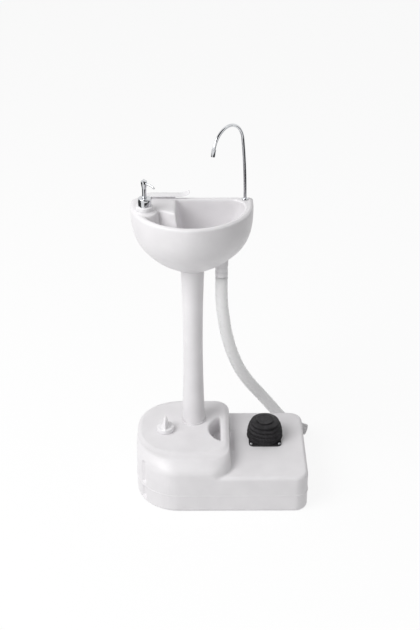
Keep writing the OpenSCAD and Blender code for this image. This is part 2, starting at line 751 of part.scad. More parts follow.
lap = 0.04;                 // how much further out and in the neck's wall goes than the riser's
neck_at = [riser_bow_r - (riser_bow_r - neck_r) * cos(riser_turn), 0,
    riser_z + (riser_bow_r - neck_r) * sin(riser_turn)];
// Tube bent round a middle at the origin, starting upward at -X
module bent_tube(bend_r, turn, r, bore) {
    mirror([1, 0, 0]) rotate([90, 0, 0]) difference() {
        rotate_extrude(angle = turn, $fn = 120) translate([bend_r, 0]) circle(r = r, $fn = 32);
        rotate_extrude(angle = turn, $fn = 120) translate([bend_r, 0]) circle(r = bore, $fn = 32);
    }
}
module faucet_spout() {
    bore = spout_r - spout_wall;
    lap_turn = bend_lap / neck_r * 180 / PI;
    color(chrome) at(spout_at, 0) rotate(spout_turn) {
        translate([0, 0, spout_foot_z]) tube(spout_r, bore, riser_z - spout_foot_z);
        translate([riser_bow_r, 0, riser_z]) bent_tube(riser_bow_r, riser_turn, spout_r, bore);
        translate(neck_at) rotate([0, riser_turn - lap_turn, 0])
            bent_tube(neck_r, spout_arc - riser_turn + lap_turn, spout_r + lap, bore - lap);
    }
}
module spout_nozzle() {
    color(chrome) at(spout_at, 0) rotate(spout_turn) translate(neck_at)
        rotate([0, spout_arc - 90, 0]) translate([0, 0, neck_r]) rotate([0, 90, 0]) difference() {
            translate([0, 0, -nozzle_grip]) cylinder(r = nozzle_r, h = nozzle_l);
            translate([0, 0, -nozzle_grip - eps]) cylinder(r = spout_r + lap + fit, h = nozzle_grip + eps);
            cylinder(r = spout_r - spout_wall - 0.5, h = nozzle_l);
        }
}

// Foot pump
module pump_corners(half) {
    for (x = [-1, 1], y = [-1, 1]) translate([pump_at.x + x * half, pump_at.y + y * half, 0]) children();
}
module pump_plate(z, h, bore) {
    translate([pump_at.x, pump_at.y, z]) difference() {
        linear_extrude(h) polygon(outline([-plate_half, -plate_half], [plate_half, plate_half],
            [1, 1, 1, 1] * plate_corner_r, 6));
        translate([0, 0, -eps]) cylinder(r = bore, h = h + 2 * eps);
        for (x = [-1, 1], y = [-1, 1]) translate([x * screw_half, y * screw_half, -eps])
            cylinder(r = screw_r + slack / 4, h = h + 2 * eps);
    }
}
module pump_gasket() {
    color(grey_rubber) pump_plate(deck_z, pump_gasket_h, cup_r + slack);
}
module pump_base() {
    color(black_rubber) {
        pump_plate(plate_z, plate_h, cup_r - 1);
        at(pump_at, cup_z) difference() {
            union() {
                cylinder(r = cup_r, h = cup_h + plate_h);
                for (x = [inlet_x, outlet_x]) translate([x, 0, -stub_h]) cylinder(r = stub_r, h = stub_h + 1);
            }
            translate([0, 0, cup_wall]) cylinder(r = cup_r - cup_wall, h = cup_h + plate_h);
            for (x = [inlet_x, outlet_x]) translate([x, 0, -stub_h - eps]) cylinder(r = stub_bore, h = stub_h + 6);
        }
    }
}
module pump_screws() {
    color(steel) pump_corners(screw_half) {
        translate([0, 0, plate_z + plate_h - screw_l]) cylinder(r = screw_r, h = screw_l);
        translate([0, 0, plate_z + plate_h]) cylinder(r1 = screw_head_r, r2 = screw_head_r - 1, h = 2);
    }
}
// Bellows' outer radius at each fold, from its foot to the tread
fold_count = 5;
function fold_r(i) = let (t = i / fold_count) tread_d / 2 + 1
    + (bellows_d / 2 - tread_d / 2 - 1) * sqrt(max(0, 1 - t * t));
module pump_bellows() {
    pitch = bellows_h / fold_count;
    outer = [for (i = [0:fold_count - 1]) each [[fold_r(i) - 3, bellows_z + pitch * (i + 0.08)],
        [fold_r(i), bellows_z + pitch * (i + 0.35)], [fold_r(i) - 0.6, bellows_z + pitch * (i + 0.7)],
        [fold_r(i + 1) - 3, bellows_z + pitch * (i + 0.98)]]];
    n = len(outer);
    inner = [for (i = [n - 1:-1:0]) [outer[i].x - bellows_wall, min(outer[i].y, bellows_z + bellows_h - 2)]];
    color(black_rubber) at(pump_at, 0) rotate_extrude() polygon(concat([[bellows_foot_r, bellows_z]], outer,
        [[tread_d / 2 - 3, bellows_z + bellows_h]], [[tread_d / 2 - 5, bellows_z + bellows_h - 2]], inner,
        [[bellows_foot_r - bellows_wall, bellows_z]]));
}
module pump_tread() {
    color(black_rubber) at(pump_at, bellows_z + bellows_h) rotate_extrude()
        polygon([[0, 0], [tread_d / 2, 0], [tread_d / 2, tread_h - 1.2], [tread_d / 2 - 1.5, tread_h], [0, tread_h]]);
}
pump_spring_z = cup_z + cup_wall;
module pump_spring() {
    color(steel) at(pump_at, pump_spring_z) coil(17, 1.2, bellows_z + bellows_h - pump_spring_z, 6, 12, 6);
}
valve_r = 6.5;
module pump_inlet_valve() {
    color(grey_rubber) at(pump_at + [inlet_x, 0], cup_z + cup_wall) {
        cylinder(r1 = valve_r - 1, r2 = 3, h = 2);
        translate([0, 0, -cup_wall - 1]) cylinder(r = 1.5, h = cup_wall + 2);
    }
}
module pump_outlet_valve() {
    color(grey_rubber) at(pump_at + [outlet_x, 0], stub_z + 4) tube(stub_bore - 0.1, 1, 8);
}

// Tubes inside
module suction_tube() {
    foot = tank_wall + filter_gap;
    color(clear_tube) at(pump_at + [inlet_x, 0], foot + filter_h - 4) tube(tube_r + 0.3, tube_bore, stub_z - foot
        - filter_h + 4);
}
module suction_filter() {
    foot = tank_wall + filter_gap;
    room = filter_r - filter_wall;
    color(cap_white) at(pump_at + [inlet_x, 0], foot) difference() {
        cylinder(r = filter_r, h = filter_h);
        translate([0, 0, filter_wall]) cylinder(r = room, h = filter_h - 5 - filter_wall);
        translate([0, 0, filter_h - 6]) cylinder(r = tube_r + 0.35, h = 7);
        for (turn = [0:45:315]) rotate(turn) translate([room - 1, 0, filter_h / 3]) rotate([0, 90, 0])
            cylinder(r = 1.6, h = filter_wall + 2);
    }
}
module supply_tube() {
    start = pump_at + [outlet_x, 0];
    low = 40;
    in_tank = [[start.x, start.y, stub_z], [start.x, start.y, stub_z - 7], [start.x, start.y, stub_z - 14],
        [start.x - 12, start.y + 2, low + 8], [start.x - 40, start.y + 8, low],
        [column_at.x + 50, column_at.y - 6, low], [column_at.x + 16, column_at.y, low + 10],
        [column_at.x + 2, column_at.y, low + 34]];
    in_column = [[column_at.x, column_at.y, shoulder_z - spigot_foot_h - 6],
        [column_at.x, column_at.y, shoulder_z], [column_at.x, column_at.y, (foot_z + crown_z) / 2],
        [column_at.x, column_at.y, crown_z], [column_at.x, column_at.y, crown_z + 16]];
    under = floor_z - bowl_wall - tube_r - 4;
    back = bowl_back_y - rim_back / 2;
    in_bowl = [[column_at.x + 4, column_at.y + 6, under - 4], [column_at.x + 18, column_at.y + 22, under],
        [column_at.x + 50, column_at.y + 36, under + 1], [spout_at.x - 37, back - 7.5, floor_z + 4],
        [spout_at.x - 14, back - 5, floor_z + 36], [spout_at.x - 2, spout_at.y + 2, rim_z - 58],
        [spout_at.x, spout_at.y, rim_z - shank_h - 18], [spout_at.x, spout_at.y, rim_z - shank_h - 9],
        [spout_at.x, spout_at.y, rim_z - shank_h]];
    color(clear_tube) sweep(curve(concat(in_tank, in_column, in_bowl), 2), tube_r, 8, [1, 0, 0]);
}

tank();
fill_cap();
fill_cap_gasket();
column();
column_collar();
basin();
drain_strainer();
drain_gasket();
drain_nut();
hose_cuff();
drain_hose();
soap_bottle();
soap_ring();
soap_collar();
soap_gasket();
soap_housing();
soap_stem();
soap_spring();
soap_dip_tube();
soap_head();
holder_arm();
holder_clip();
faucet_base();
faucet_washer();
faucet_lock_nut();
faucet_o_ring();
faucet_spout();
spout_nozzle();
pump_base();
pump_gasket();
pump_screws();
pump_bellows();
pump_spring();
pump_tread();
pump_inlet_valve();
pump_outlet_valve();
suction_tube();
suction_filter();
supply_tube();
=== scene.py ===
"""Portable wash basin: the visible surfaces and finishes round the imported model.

Shapes are worked out in millimetres on the frame's own axes (+X right, +Y away, +Z up) and made
in metres.
"""
import math

import bpy
import numpy as np
import openvdb
from mathutils import Matrix, Vector


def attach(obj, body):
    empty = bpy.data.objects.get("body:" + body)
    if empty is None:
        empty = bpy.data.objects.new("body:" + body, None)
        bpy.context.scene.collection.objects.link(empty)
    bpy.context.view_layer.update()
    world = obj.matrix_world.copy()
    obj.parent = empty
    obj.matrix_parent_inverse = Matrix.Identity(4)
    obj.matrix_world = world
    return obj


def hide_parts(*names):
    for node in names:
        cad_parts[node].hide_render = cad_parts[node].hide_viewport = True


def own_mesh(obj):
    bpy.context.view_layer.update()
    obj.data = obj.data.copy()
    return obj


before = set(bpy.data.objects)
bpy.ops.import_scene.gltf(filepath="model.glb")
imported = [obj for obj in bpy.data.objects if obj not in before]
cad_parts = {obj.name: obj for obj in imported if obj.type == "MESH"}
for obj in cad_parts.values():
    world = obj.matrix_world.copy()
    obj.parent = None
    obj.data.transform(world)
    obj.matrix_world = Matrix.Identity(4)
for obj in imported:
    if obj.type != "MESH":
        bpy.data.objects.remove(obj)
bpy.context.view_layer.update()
MM = 0.001

# Camera, fitted to the photo
CAMERA_AT = (-0.04456, -2.6, 1.99764)
CAMERA_TILT = 60.244
CAMERA_TURN = -0.304
CAMERA_LENS = 67.53

# Stage: the world's light on the object, the floor's light and own glow, and in metres half the
# floor's width and the distance and height of the dark cards that the chrome mirrors
WORLD_FILL = 0.42
FLOOR_LIT, FLOOR_GLOW = 0.12, 0.885
FLOOR_HALF = 12
CARD_REACH, CARD_H = 1.15, 0.8

# Drain hose: its middle line from the drain to the floor behind the tank
HOSE_ROUTE = [(-1, 66, 590), (-1, 66, 545), (1, 69, 500), (6, 76, 456), (12, 85, 412),
              (21, 95, 369), (32, 107, 327), (45, 121, 286), (61, 136, 247), (80, 151, 210),
              (102, 166, 173), (125, 180, 136), (149, 190, 99), (175, 195, 63), (208, 197, 34),
              (246, 197, 17)]
HOSE_R = 16
HOSE_WALL = 2
HOSE_BORED_STEPS = 7

# Room between a hole and what sits in it
FIT = 0.3

# Tank
TANK_L, TANK_D = 455, 308
FLANGE_OUT = 1.5
HALF_L = TANK_L / 2 - FLANGE_OUT
HALF_D = TANK_D / 2 - FLANGE_OUT
DECK_Z, SHOULDER_Z = 110, 152
ABOVE_TANK = 400
TANK_WALL = 3
HOLE_DEEP = 8
END_R = 115
CORNER_R = 35
STEP_X = 22
BROW_H, BROW_D = 38, 58
SHOULDER_EDGE_R = 10
SHOULDER_FRONT_R, SHOULDER_BACK_R = 55, 40
SHOULDER_ROOT_Z = 60
BASE_EDGE_R, DECK_EDGE_R = 8, 9
STEP_FILLET = 6
STEP_DRAFT = 0.08
FLANGE_Z = 52
FLUTE_R = 9
FLUTE_DEEP = 8
FLUTE_TURN = 34
FLUTE_FOOT = 12
FLUTE_HEAD = SHOULDER_Z - BROW_H + 12
FLUTE_BAND = 7
FLUTE_EDGE_R = 3

# Hand slot, and the tunnel under its grip bar that runs out on the deck
SLOT_L, SLOT_W = 111, 30
BAR_W, BAR_H = 19, 21
SLOT_RIGHT = STEP_X - 6 - BAR_W
SLOT_MID_Y = 15
SLOT_LIP_R = 7
SLOT_CORNER_R = 4
TUNNEL_Z = DECK_Z - 10
TUNNEL_LEFT, TUNNEL_RIGHT = SLOT_RIGHT - SLOT_W / 2, STEP_X + 8
TUNNEL_RAMP = 18
TUNNEL_INSET = 12
TUNNEL_EDGE_R = 6

# Filler and its cap, whose grip blade is a leaf that narrows and shortens upwards
FILLER_AT = (-150, 6)
FILLER_BORE = 16
FILLER_R = 19
FILLER_H = 9
CAP_R = 23
CAP_TOP = SHOULDER_Z + FILLER_H + 5
BLADE_L, BLADE_W, BLADE_H = 42, 21, 26
BLADE_NARROWS, BLADE_SHORTENS = 0.62, 0.32
BLADE_EDGE_R = 5

# Column
COLUMN_AT = (-75, 60)
COLUMN_L = 463
COLUMN_WALL = 3
FOOT_R = 31.5
WAIST_R = 25.5
CROWN_TUBE_R = 30.5
WAIST_PART = 0.54
CROWN_Z = SHOULDER_Z + COLUMN_L
SPIGOT_FOOT_R = 29
SPIGOT_FOOT_H = 40
SPIGOT_CROWN_R = 27.5
SPIGOT_CROWN_H = 24
COLLAR_H, COLLAR_W = 5, 2

# Bowl
BOWL_W, BOWL_H, BOWL_D = 305, 171, 193
BOWL_BACK = COLUMN_AT[1] + 57
BOWL_FRONT = BOWL_BACK - BOWL_D
RIM_Z = CROWN_Z + BOWL_H
ABOVE_BOWL = RIM_Z + 40
INSIDE_H = 122
FLOOR_Z = RIM_Z - INSIDE_H
BOWL_WALL = 3
CROWN_R = 31
RIM_FRONT, RIM_BACK, RIM_SIDE = 12, 17, 23
RIM_EDGE_R = 7
RIM_LIP_R = 5
SIDE_POWER, SIDE_LEAN = 3, 0.72
FRONT_POWER, FRONT_LEAN = 3.35, 1.36
BACK_RIGHT_R, BACK_LEFT_R = 10, 24
FLOOR_SIDE = 10
FLOOR_EDGE_R = 8
FLOOR_CORNER_R, CORNER_R_GROWS = 18, 20
DRAIN_AT = (-1, 66)
DRAIN_R = 12
DRAIN_BOSS_R = 17
DRAIN_BOSS_Z = CROWN_Z + 3
DRAIN_NUT_H, DRAIN_SEAL_H = 12, 1.5
CORNER_ROUND_R = 31
CORNER_RIGHT = COLUMN_AT[0] - BOWL_W / 2 + 113
CORNER_FRONT_Y = BOWL_BACK - 101
CORNER_SKEW = 0.565
CORNER_LEAN = 0.15
CORNER_ROOT_R = 8

# Soap dispenser. Its spout's line holds how far out it has run and dropped
SOAP_AT = (-190, 32)
BOSS_R, BOSS_H = 24, 2.5
BOTTLE_R = 19.5
SOAP_BORE_R = 13.3
SOAP_RING_Z = RIM_Z + BOSS_H + 2
SOAP_RING_R, SOAP_RING_H = 20.5, 10.5
SOAP_NECK_TOP = SOAP_RING_Z + 22
SOAP_COLLAR_Z = SOAP_RING_Z + SOAP_RING_H + FIT
SOAP_COLLAR_R = 16.5
SOAP_COLLAR_TOP = SOAP_NECK_TOP + 9
SOAP_CEILING = SOAP_NECK_TOP + 2.6
HEAD_Z = SOAP_COLLAR_TOP - 4
HEAD_R = 5.5
HEAD_TOP_R = 7.8
HEAD_H = 53
HEAD_SOCKET_R, HEAD_SOCKET_H = 3.05, 18
HEAD_SPOUT_Z = HEAD_H - 11
SOAP_SPOUT_TURN = -38
SOAP_SPOUT_LINE = [(0, 0), (8, 0), (18, 0.6), (27, 3), (32.5, 6.5)]
SOAP_SPOUT_R, SOAP_SPOUT_TAPER = 2.9, 0.7
SOAP_GASKET_H, SOAP_HOUSING_L = 0.8, 66
SOAP_SPRING_Z = SOAP_NECK_TOP + SOAP_GASKET_H - SOAP_HOUSING_L + 6
SOAP_SPRING_TOP = SOAP_NECK_TOP - 30

# Towel arm
PIN_AT = (-181, 106)
PIN_R, PIN_H = 4, 16
PIN_INSET = 5
ARM_L, ARM_W, ARM_H = 112, 24, 8
ARM_Z = RIM_Z + FIT
ARM_PLATE_H = 2.2
ARM_FOOT_INSET = 8
ARM_TIP_R = 5
TIP_L, TIP_RISE, TIP_THINS = 27, 8, 0.2

# Spout
SPOUT_AT = (57, 100)
SPOUT_TURN = -129
SPOUT_ARC = 168
SPOUT_R = 4
SPOUT_WALL = 1
SPOUT_FIT = 0.08
RISER_L = 161
RISER_BOW_R = 1030
NECK_R = 57.5
SHANK_R, SHANK_H = 6.5, 26
FAUCET_H = 4
NOZZLE_R = 5.3
NOZZLE_BORE_R = 2.5
NOZZLE_OUT, NOZZLE_GRIP = 14, 4

# Foot pump
PUMP_AT = (118, 30)
PUMP_HOLE_R = 33.6
PLATE_HALF = 44
PLATE_CORNER_R = 13
PLATE_Z = DECK_Z + 1.5
PLATE_H = 4
CUP_R, CUP_H, CUP_WALL = 33, 15, 2.5
PORT_X = 9
PORT_R, PORT_BORE_R = 5, 3
PORT_H = 27
BELLOWS_Z = PLATE_Z + PLATE_H
BELLOWS_H = 52
BELLOWS_R = 49
BELLOWS_FOOT_R = 43
BELLOWS_WALL = 2
BELLOWS_FOLDS = 5
BELLOWS_RIBS = 72
TREAD_R, TREAD_H = 24, 3
COIL_TURNS = 6

# Screws
SCREW_HALF = 37.5
SCREW_L = 10
SCREW_R = 2
SCREW_HEAD_R, SCREW_HEAD_H = 3.7, 2
RECESS_HALF_L, RECESS_HALF_W, RECESS_Z = 2.1, 0.45, 0.9


def metres(point):
    return tuple(c * MM for c in point)


def add_mesh(name, points, faces, body, slot, stands_for=(), sharp=None):
    """A mesh piece from points in millimetres, smooth-shaded, that rides on a body of the frame.

    slot names its finish too. Edges bent by more than sharp degrees are left sharp.
    """
    mesh = bpy.data.meshes.new(name)
    mesh.from_pydata([metres(p) for p in points], [], [list(map(int, f)) for f in faces])
    mesh.validate()
    mesh.shade_smooth()
    if sharp is not None:
        mesh.set_sharp_from_angle(angle=math.radians(sharp))
    piece = bpy.data.objects.new(name, mesh)
    bpy.context.scene.collection.objects.link(piece)
    piece.data.materials.append(MATERIALS[slot])
    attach(piece, body)
    if stands_for:
        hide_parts(*stands_for)
    return piece


def add_turned(name, profile, segments, at, body, slot, stands_for, sharp, wave=None):
    """A mesh piece turned from a closed (r, z) outline, standing at a point."""
    points, faces = lathe(profile, segments, wave)
    return add_mesh(name, moved(points, *at), faces, body, slot, stands_for, sharp)


# Curves and round forms

def fillet(corners, steps=5):
    """A closed outline from (r, z, radius) corners, each rounded by an arc of its radius."""
    out = []
    count = len(corners)
    for i, (x, y, radius) in enumerate(corners):
        here = np.array((x, y), float)
        if radius <= 0:
            out.append(tuple(here))
            continue
        before = np.array(corners[i - 1][:2], float) - here
        after = np.array(corners[(i + 1) % count][:2], float) - here
        len_a, len_b = np.linalg.norm(before), np.linalg.norm(after)
        before, after = before / len_a, after / len_b
        half = math.acos(max(-1, min(1, float(before @ after)))) / 2
        reach = min(radius / math.tan(half), 0.49 * len_a, 0.49 * len_b)
        radius = reach * math.tan(half)
        halfway = (before + after) / np.linalg.norm(before + after)
        middle = here + halfway * radius / math.sin(half)
        start, end = here + before * reach - middle, here + after * reach - middle
        turn = math.atan2(start[0] * end[1] - start[1] * end[0], float(start @ end))
        for k in range(steps + 1):
            a = turn * k / steps
            c, s = math.cos(a), math.sin(a)
            out.append((middle[0] + c * start[0] - s * start[1],
                        middle[1] + s * start[0] + c * start[1]))
    return out


def lathe(profile, segments, wave=None):
    """Points and faces of a closed (r, z) outline turned about Z.

    wave(angle, r, z) may change the radius.
    """
    points, rows = [], []
    for r, z in profile:
        if r < 1e-6:
            rows.append([len(points)] * segments)
            points.append((0.0, 0.0, z))
            continue
        rows.append(list(range(len(points), len(points) + segments)))
        for k in range(segments):
            a = 2 * math.pi * k / segments
            radius = wave(a, r, z) if wave else r
            points.append((radius * math.cos(a), radius * math.sin(a), z))
    faces = []
    for i in range(len(rows)):
        low, high = rows[i], rows[(i + 1) % len(rows)]
        if low[0] == low[-1] and high[0] == high[-1]:
            continue
        for k in range(segments):
            j = (k + 1) % segments
            face = [low[k], low[j], high[j], high[k]]
            face = [v for n, v in enumerate(face) if v != face[n - 1]]
            if len(face) > 2:
                faces.append(face)
    return points, faces


def moved(points, x=0, y=0, z=0):
    return [(p[0] + x, p[1] + y, p[2] + z) for p in points]


def turned(points, matrix):
    return [tuple(matrix @ Vector(p)) for p in points]


def joined(*parts):
    """One list of points and faces from several."""
    points, faces = [], []
    for part_points, part_faces in parts:
        base = len(points)
        points += list(part_points)
        faces += [[v + base for v in f] for f in part_faces]
    return points, faces


def curve(points, steps):
    """Smooth curve through points, with that many steps to each stretch."""
    p = [np.array(q, float) for q in points]
    n = len(p) - 1
    out = []
    for i in range(n):
        a, b, c, d = p[max(0, i - 1)], p[i], p[i + 1], p[min(n, i + 2)]
        for k in range(steps):
            t = k / steps
            out.append(0.5 * (2 * b + (c - a) * t + (2 * a - 5 * b + 4 * c - d) * t ** 2
                              + (3 * b - a - 3 * c + d) * t ** 3))
    out.append(p[n])
    return out


def frames_along(path, first):
    """Heading and two side vectors at each point of a path, carried along without twist."""
    side = np.array(first, float)
    out = []
    for i in range(len(path)):
        heading = path[min(i + 1, len(path) - 1)] - path[max(i - 1, 0)]
        heading = heading / np.linalg.norm(heading)
        side = side - heading * float(side @ heading)
        side = side / np.linalg.norm(side)
        out.append((heading, side, np.cross(heading, side)))
    return out


def sweep(path, radii, segments, first=(1, 0, 0), closed_ends=True, inward=False):
    """Points and faces of a round tube along a path. radii is one radius or one for each point.

    first is roughly the direction of the first point of each ring.
    """
    path = [np.array(p, float) for p in path]
    radii = [radii] * len(path) if np.isscalar(radii) else radii
    points = []
    for p, r, (heading, u, v) in zip(path, radii, frames_along(path, first)):
        for k in range(segments):
            a = 2 * math.pi * k / segments
            points.append(tuple(p + r * (math.cos(a) * u + math.sin(a) * v)))
    faces = []
    for i in range(len(path) - 1):
        for k in range(segments):
            j = (k + 1) % segments
            a, b = i * segments, (i + 1) * segments
            faces.append([a + k, a + j, b + j, b + k])
    if closed_ends:
        last = (len(path) - 1) * segments
        faces.append(list(range(segments))[::-1])
        faces.append([last + k for k in range(segments)])
    if inward:
        faces = [f[::-1] for f in faces]
    return points, faces


def pipe(path, radius, wall, segments, first):
    """A tube with its bore: an outer and an inner skin joined by rings at both ends."""
    outer, outer_faces = sweep(path, radius, segments, first, closed_ends=False)
    inner, inner_faces = sweep(path, radius - wall, segments, first, closed_ends=False,
                               inward=True)
    base = len(outer)
    points = outer + inner
    faces = outer_faces + [[v + base for v in f] for f in inner_faces]
    last = (len(path) - 1) * segments
    for k in range(segments):
        j = (k + 1) % segments
        faces.append([j, k, base + k, base + j])
        faces.append([last + k, last + j, base + last + j, base + last + k])
    return points, faces


# Implicit forms: a field is the distance to a surface in millimetres, below zero inside it

class Grid:
    """Points of a box, as arrays that broadcast against each other."""

    def __init__(self, low, high, step):
        self.step = step
        self.low = [low[i] - 3 * step for i in range(3)]
        axes = [np.arange(self.low[i], high[i] + 3 * step, step, dtype=np.float32)
                for i in range(3)]
        self.x = axes[0][:, None, None]
        self.y = axes[1][None, :, None]
        self.z = axes[2][None, None, :]

    def full(self, field):
        shape = (self.x.size, self.y.size, self.z.size)
        return np.ascontiguousarray(np.broadcast_to(field, shape), dtype=np.float32)


def as_distance(grid, field):
    """The same surface with an even slope, so that offsets and blends come out in millimetres."""
    slope = np.sqrt(sum(g * g for g in np.gradient(grid.full(field), grid.step)))
    return field / np.maximum(slope, 0.35)


def soften(grid, field, times):
    """Rounds every edge a little, as moulding does."""
    field = grid.full(field)
    for _ in range(times):
        for axis in range(3):
            field = (np.roll(field, 1, axis) + 2 * field + np.roll(field, -1, axis)) / 4
    return field


def both(a, b, blend=0.0):
    """Where two fields overlap, with a rounded edge."""
    if not blend:
        return np.maximum(a, b)
    h = np.maximum(blend - np.abs(a - b), 0) / blend
    return np.maximum(a, b) + h * h * blend / 4


def either(a, b, blend=0.0):
    return -both(-a, -b, blend)


def without(a, b, blend=0.0):
    return both(a, -b, blend)


def outline_field(grid, x0, x1, y0, y1, front_left, front_right, back_right, back_left):
    """Distance to a round-cornered outline in plan. Every value may change with height."""
    px = grid.x - (x0 + x1) / 2
    py = grid.y - (y0 + y1) / 2
    left = np.where(py < 0, front_left, back_left)
    right = np.where(py < 0, front_right, back_right)
    radius = np.where(px < 0, left, right)
    qx = np.abs(px) - (x1 - x0) / 2 + radius
    qy = np.abs(py) - (y1 - y0) / 2 + radius
    outside = np.sqrt(np.maximum(qx, 0) ** 2 + np.maximum(qy, 0) ** 2)
    return np.minimum(np.maximum(qx, qy), 0) + outside - radius


def round_slab(plan, z, low, high, low_r, high_r):
    """An outline made solid between two heights, with rounded edges."""
    rise = np.maximum(low - z, z - high)
    r = np.where(z < (low + high) / 2, low_r, high_r)
    a, b = plan + r, rise + r
    outside = np.sqrt(np.maximum(a, 0) ** 2 + np.maximum(b, 0) ** 2)
    return np.minimum(np.maximum(a, b), 0) + outside - r


def post(grid, at, radius, low, high, edge=0.0):
    """An upright cylinder."""
    plan = np.sqrt((grid.x - at[0]) ** 2 + (grid.y - at[1]) ** 2) - radius
    return round_slab(plan, grid.z, low, high, edge, edge)


def draw_in(z, top, r):
    """How far a rounded edge has drawn in at height z."""
    past = np.maximum(0, z - top + r)
    return np.where(z <= top - r, 0, r - np.sqrt(np.maximum(0, r * r - past ** 2)))


def field_mesh(grid, field, adaptivity):
    """Points, faces and normals of a field's surface."""
    field = grid.full(field)
    volume = openvdb.FloatGrid(3 * grid.step)
    volume.copyFromArray(field)
    points, triangles, quads = volume.convertToPolygons(isovalue=0.0, adaptivity=adaptivity)
    slopes = np.stack(np.gradient(field, grid.step), axis=-1)
    cell = np.clip(points, 0, np.array(field.shape) - 1.001)
    index = np.floor(cell).astype(int)
    share = cell - index
    normals = np.zeros_like(points)
    for corner in np.ndindex(2, 2, 2):
        weight = np.prod([share[:, i] if corner[i] else 1 - share[:, i] for i in range(3)],
                         axis=0)
        at = index + corner
        normals += weight[:, None] * slopes[at[:, 0], at[:, 1], at[:, 2]]
    normals /= np.maximum(np.linalg.norm(normals, axis=1), 1e-9)[:, None]
    faces = [list(f) for f in quads] + [list(f) for f in triangles]
    return points * grid.step + np.array(grid.low), faces, normals


def implicit_mesh(name, grid, field, body, slot, stands_for, adaptivity):
    """A mesh piece from a field, shaded by its slope. adaptivity allows larger flat faces."""
    points, faces, normals = field_mesh(grid, field, adaptivity)
    piece = add_mesh(name, points, faces, body, slot, stands_for)
    piece.data.normals_split_custom_set_from_vertices(normals)


# Materials

MATERIALS = {}


def finish(name, tint, rough, bump, **sockets):
    """A node material whose colour, roughness and bump come from noise in the piece's own space.

    tint is a noise and its two colours, rough a noise and its two values, and bump a noise, its
    depth in metres and its strength. A noise is a scale and a detail.
    """
    material = bpy.data.materials.new(name)
    material.use_nodes = True
    tree = material.node_tree
    shader = tree.nodes["Principled BSDF"]
    for socket, value in sockets.items():
        shader.inputs[socket.replace("_", " ")].default_value = value
    space = tree.nodes.new("ShaderNodeTexCoord").outputs["Object"]

    def noise(scale, detail):
        node = tree.nodes.new("ShaderNodeTexNoise")
        node.inputs["Scale"].default_value = scale
        node.inputs["Detail"].default_value = detail
        tree.links.new(space, node.inputs["Vector"])
        return node.outputs["Fac"]

    fac, ramp = noise(*tint[0]), tree.nodes.new("ShaderNodeValToRGB")
    for element, place, colour in zip(ramp.color_ramp.elements, (0.35, 0.65), tint[1:]):
        element.position = place
        element.color = (*colour, 1)
    tree.links.new(fac, ramp.inputs["Fac"])
    tree.links.new(ramp.outputs["Color"], shader.inputs["Base Color"])
    fac, span = noise(*rough[0]), tree.nodes.new("ShaderNodeMapRange")
    for socket, value in zip(("From Min", "From Max", "To Min", "To Max"), (0.3, 0.7, *rough[1:])):
        span.inputs[socket].default_value = value
    tree.links.new(fac, span.inputs["Value"])
    tree.links.new(span.outputs["Result"], shader.inputs["Roughness"])
    fac, relief = noise(*bump[0]), tree.nodes.new("ShaderNodeBump")
    relief.inputs["Distance"].default_value = bump[1]
    relief.inputs["Strength"].default_value = bump[2]
    tree.links.new(fac, relief.inputs["Height"])
    tree.links.new(relief.outputs["Normal"], shader.inputs["Normal"])
    MATERIALS[name] = material


# Blow-moulded polyethylene: satin, faintly cloudy, with a fine orange peel
finish("moulded_white", ((14, 4), (0.80, 0.785, 0.80), (0.845, 0.83, 0.845)),
       ((60, 3), 0.34, 0.46), ((420, 2), 0.00012, 0.5), IOR=1.5)
# Injection-moulded cap, arm, rings and soap parts: smoother and glossier
finish("gloss_white", ((40, 3), (0.84, 0.83, 0.845), (0.88, 0.87, 0.885)),
       ((90, 3), 0.16, 0.26), ((500, 2), 0.00004, 0.4), IOR=1.5)
# Milky soft hose, in which light spreads
finish("hose_white", ((22, 3), (0.94, 0.92, 0.945), (0.98, 0.96, 0.985)),
       ((70, 3), 0.24, 0.36), ((260, 2), 0.00008, 0.4), IOR=1.4,
       Subsurface_Weight=1.0, Subsurface_Scale=0.03, Subsurface_Radius=(1, 1, 1))
finish("chrome", ((50, 2), (0.60, 0.61, 0.63), (0.67, 0.68, 0.70)),
       ((140, 3), 0.05, 0.11), ((300, 2), 0.00001, 0.3), Metallic=1.0)
finish("steel", ((90, 3), (0.55, 0.55, 0.57), (0.68, 0.68, 0.70)),
       ((240, 3), 0.24, 0.38), ((900, 2), 0.00003, 0.5), Metallic=1.0)
# Moulded rubber: near black and matt, with a dusty bloom on it
finish("black_rubber", ((70, 5), (0.009, 0.0085, 0.0095), (0.024, 0.022, 0.025)),
       ((160, 3), 0.42, 0.62), ((900, 3), 0.00012, 0.6), IOR=1.5, Specular_IOR_Level=0.3)
finish("grey_rubber", ((90, 4), (0.13, 0.13, 0.135), (0.19, 0.19, 0.195)),
       ((160, 3), 0.5, 0.68), ((700, 3), 0.0001, 0.5), IOR=1.5)
finish("clear_tube", ((60, 2), (0.80, 0.84, 0.86), (0.88, 0.91, 0.93)),
       ((120, 2), 0.12, 0.2), ((300, 2), 0.00004, 0.3), IOR=1.45, Transmission_Weight=0.55)


# Stage

def make_camera():
    data = bpy.data.cameras.new("camera")
    data.lens = CAMERA_LENS
    data.sensor_width = 36
    data.clip_end = 60
    camera = bpy.data.objects.new("camera", data)
    camera.location = CAMERA_AT
    camera.rotation_euler = (math.radians(CAMERA_TILT), 0, math.radians(CAMERA_TURN))
    bpy.context.scene.collection.objects.link(camera)
    bpy.context.scene.camera = camera


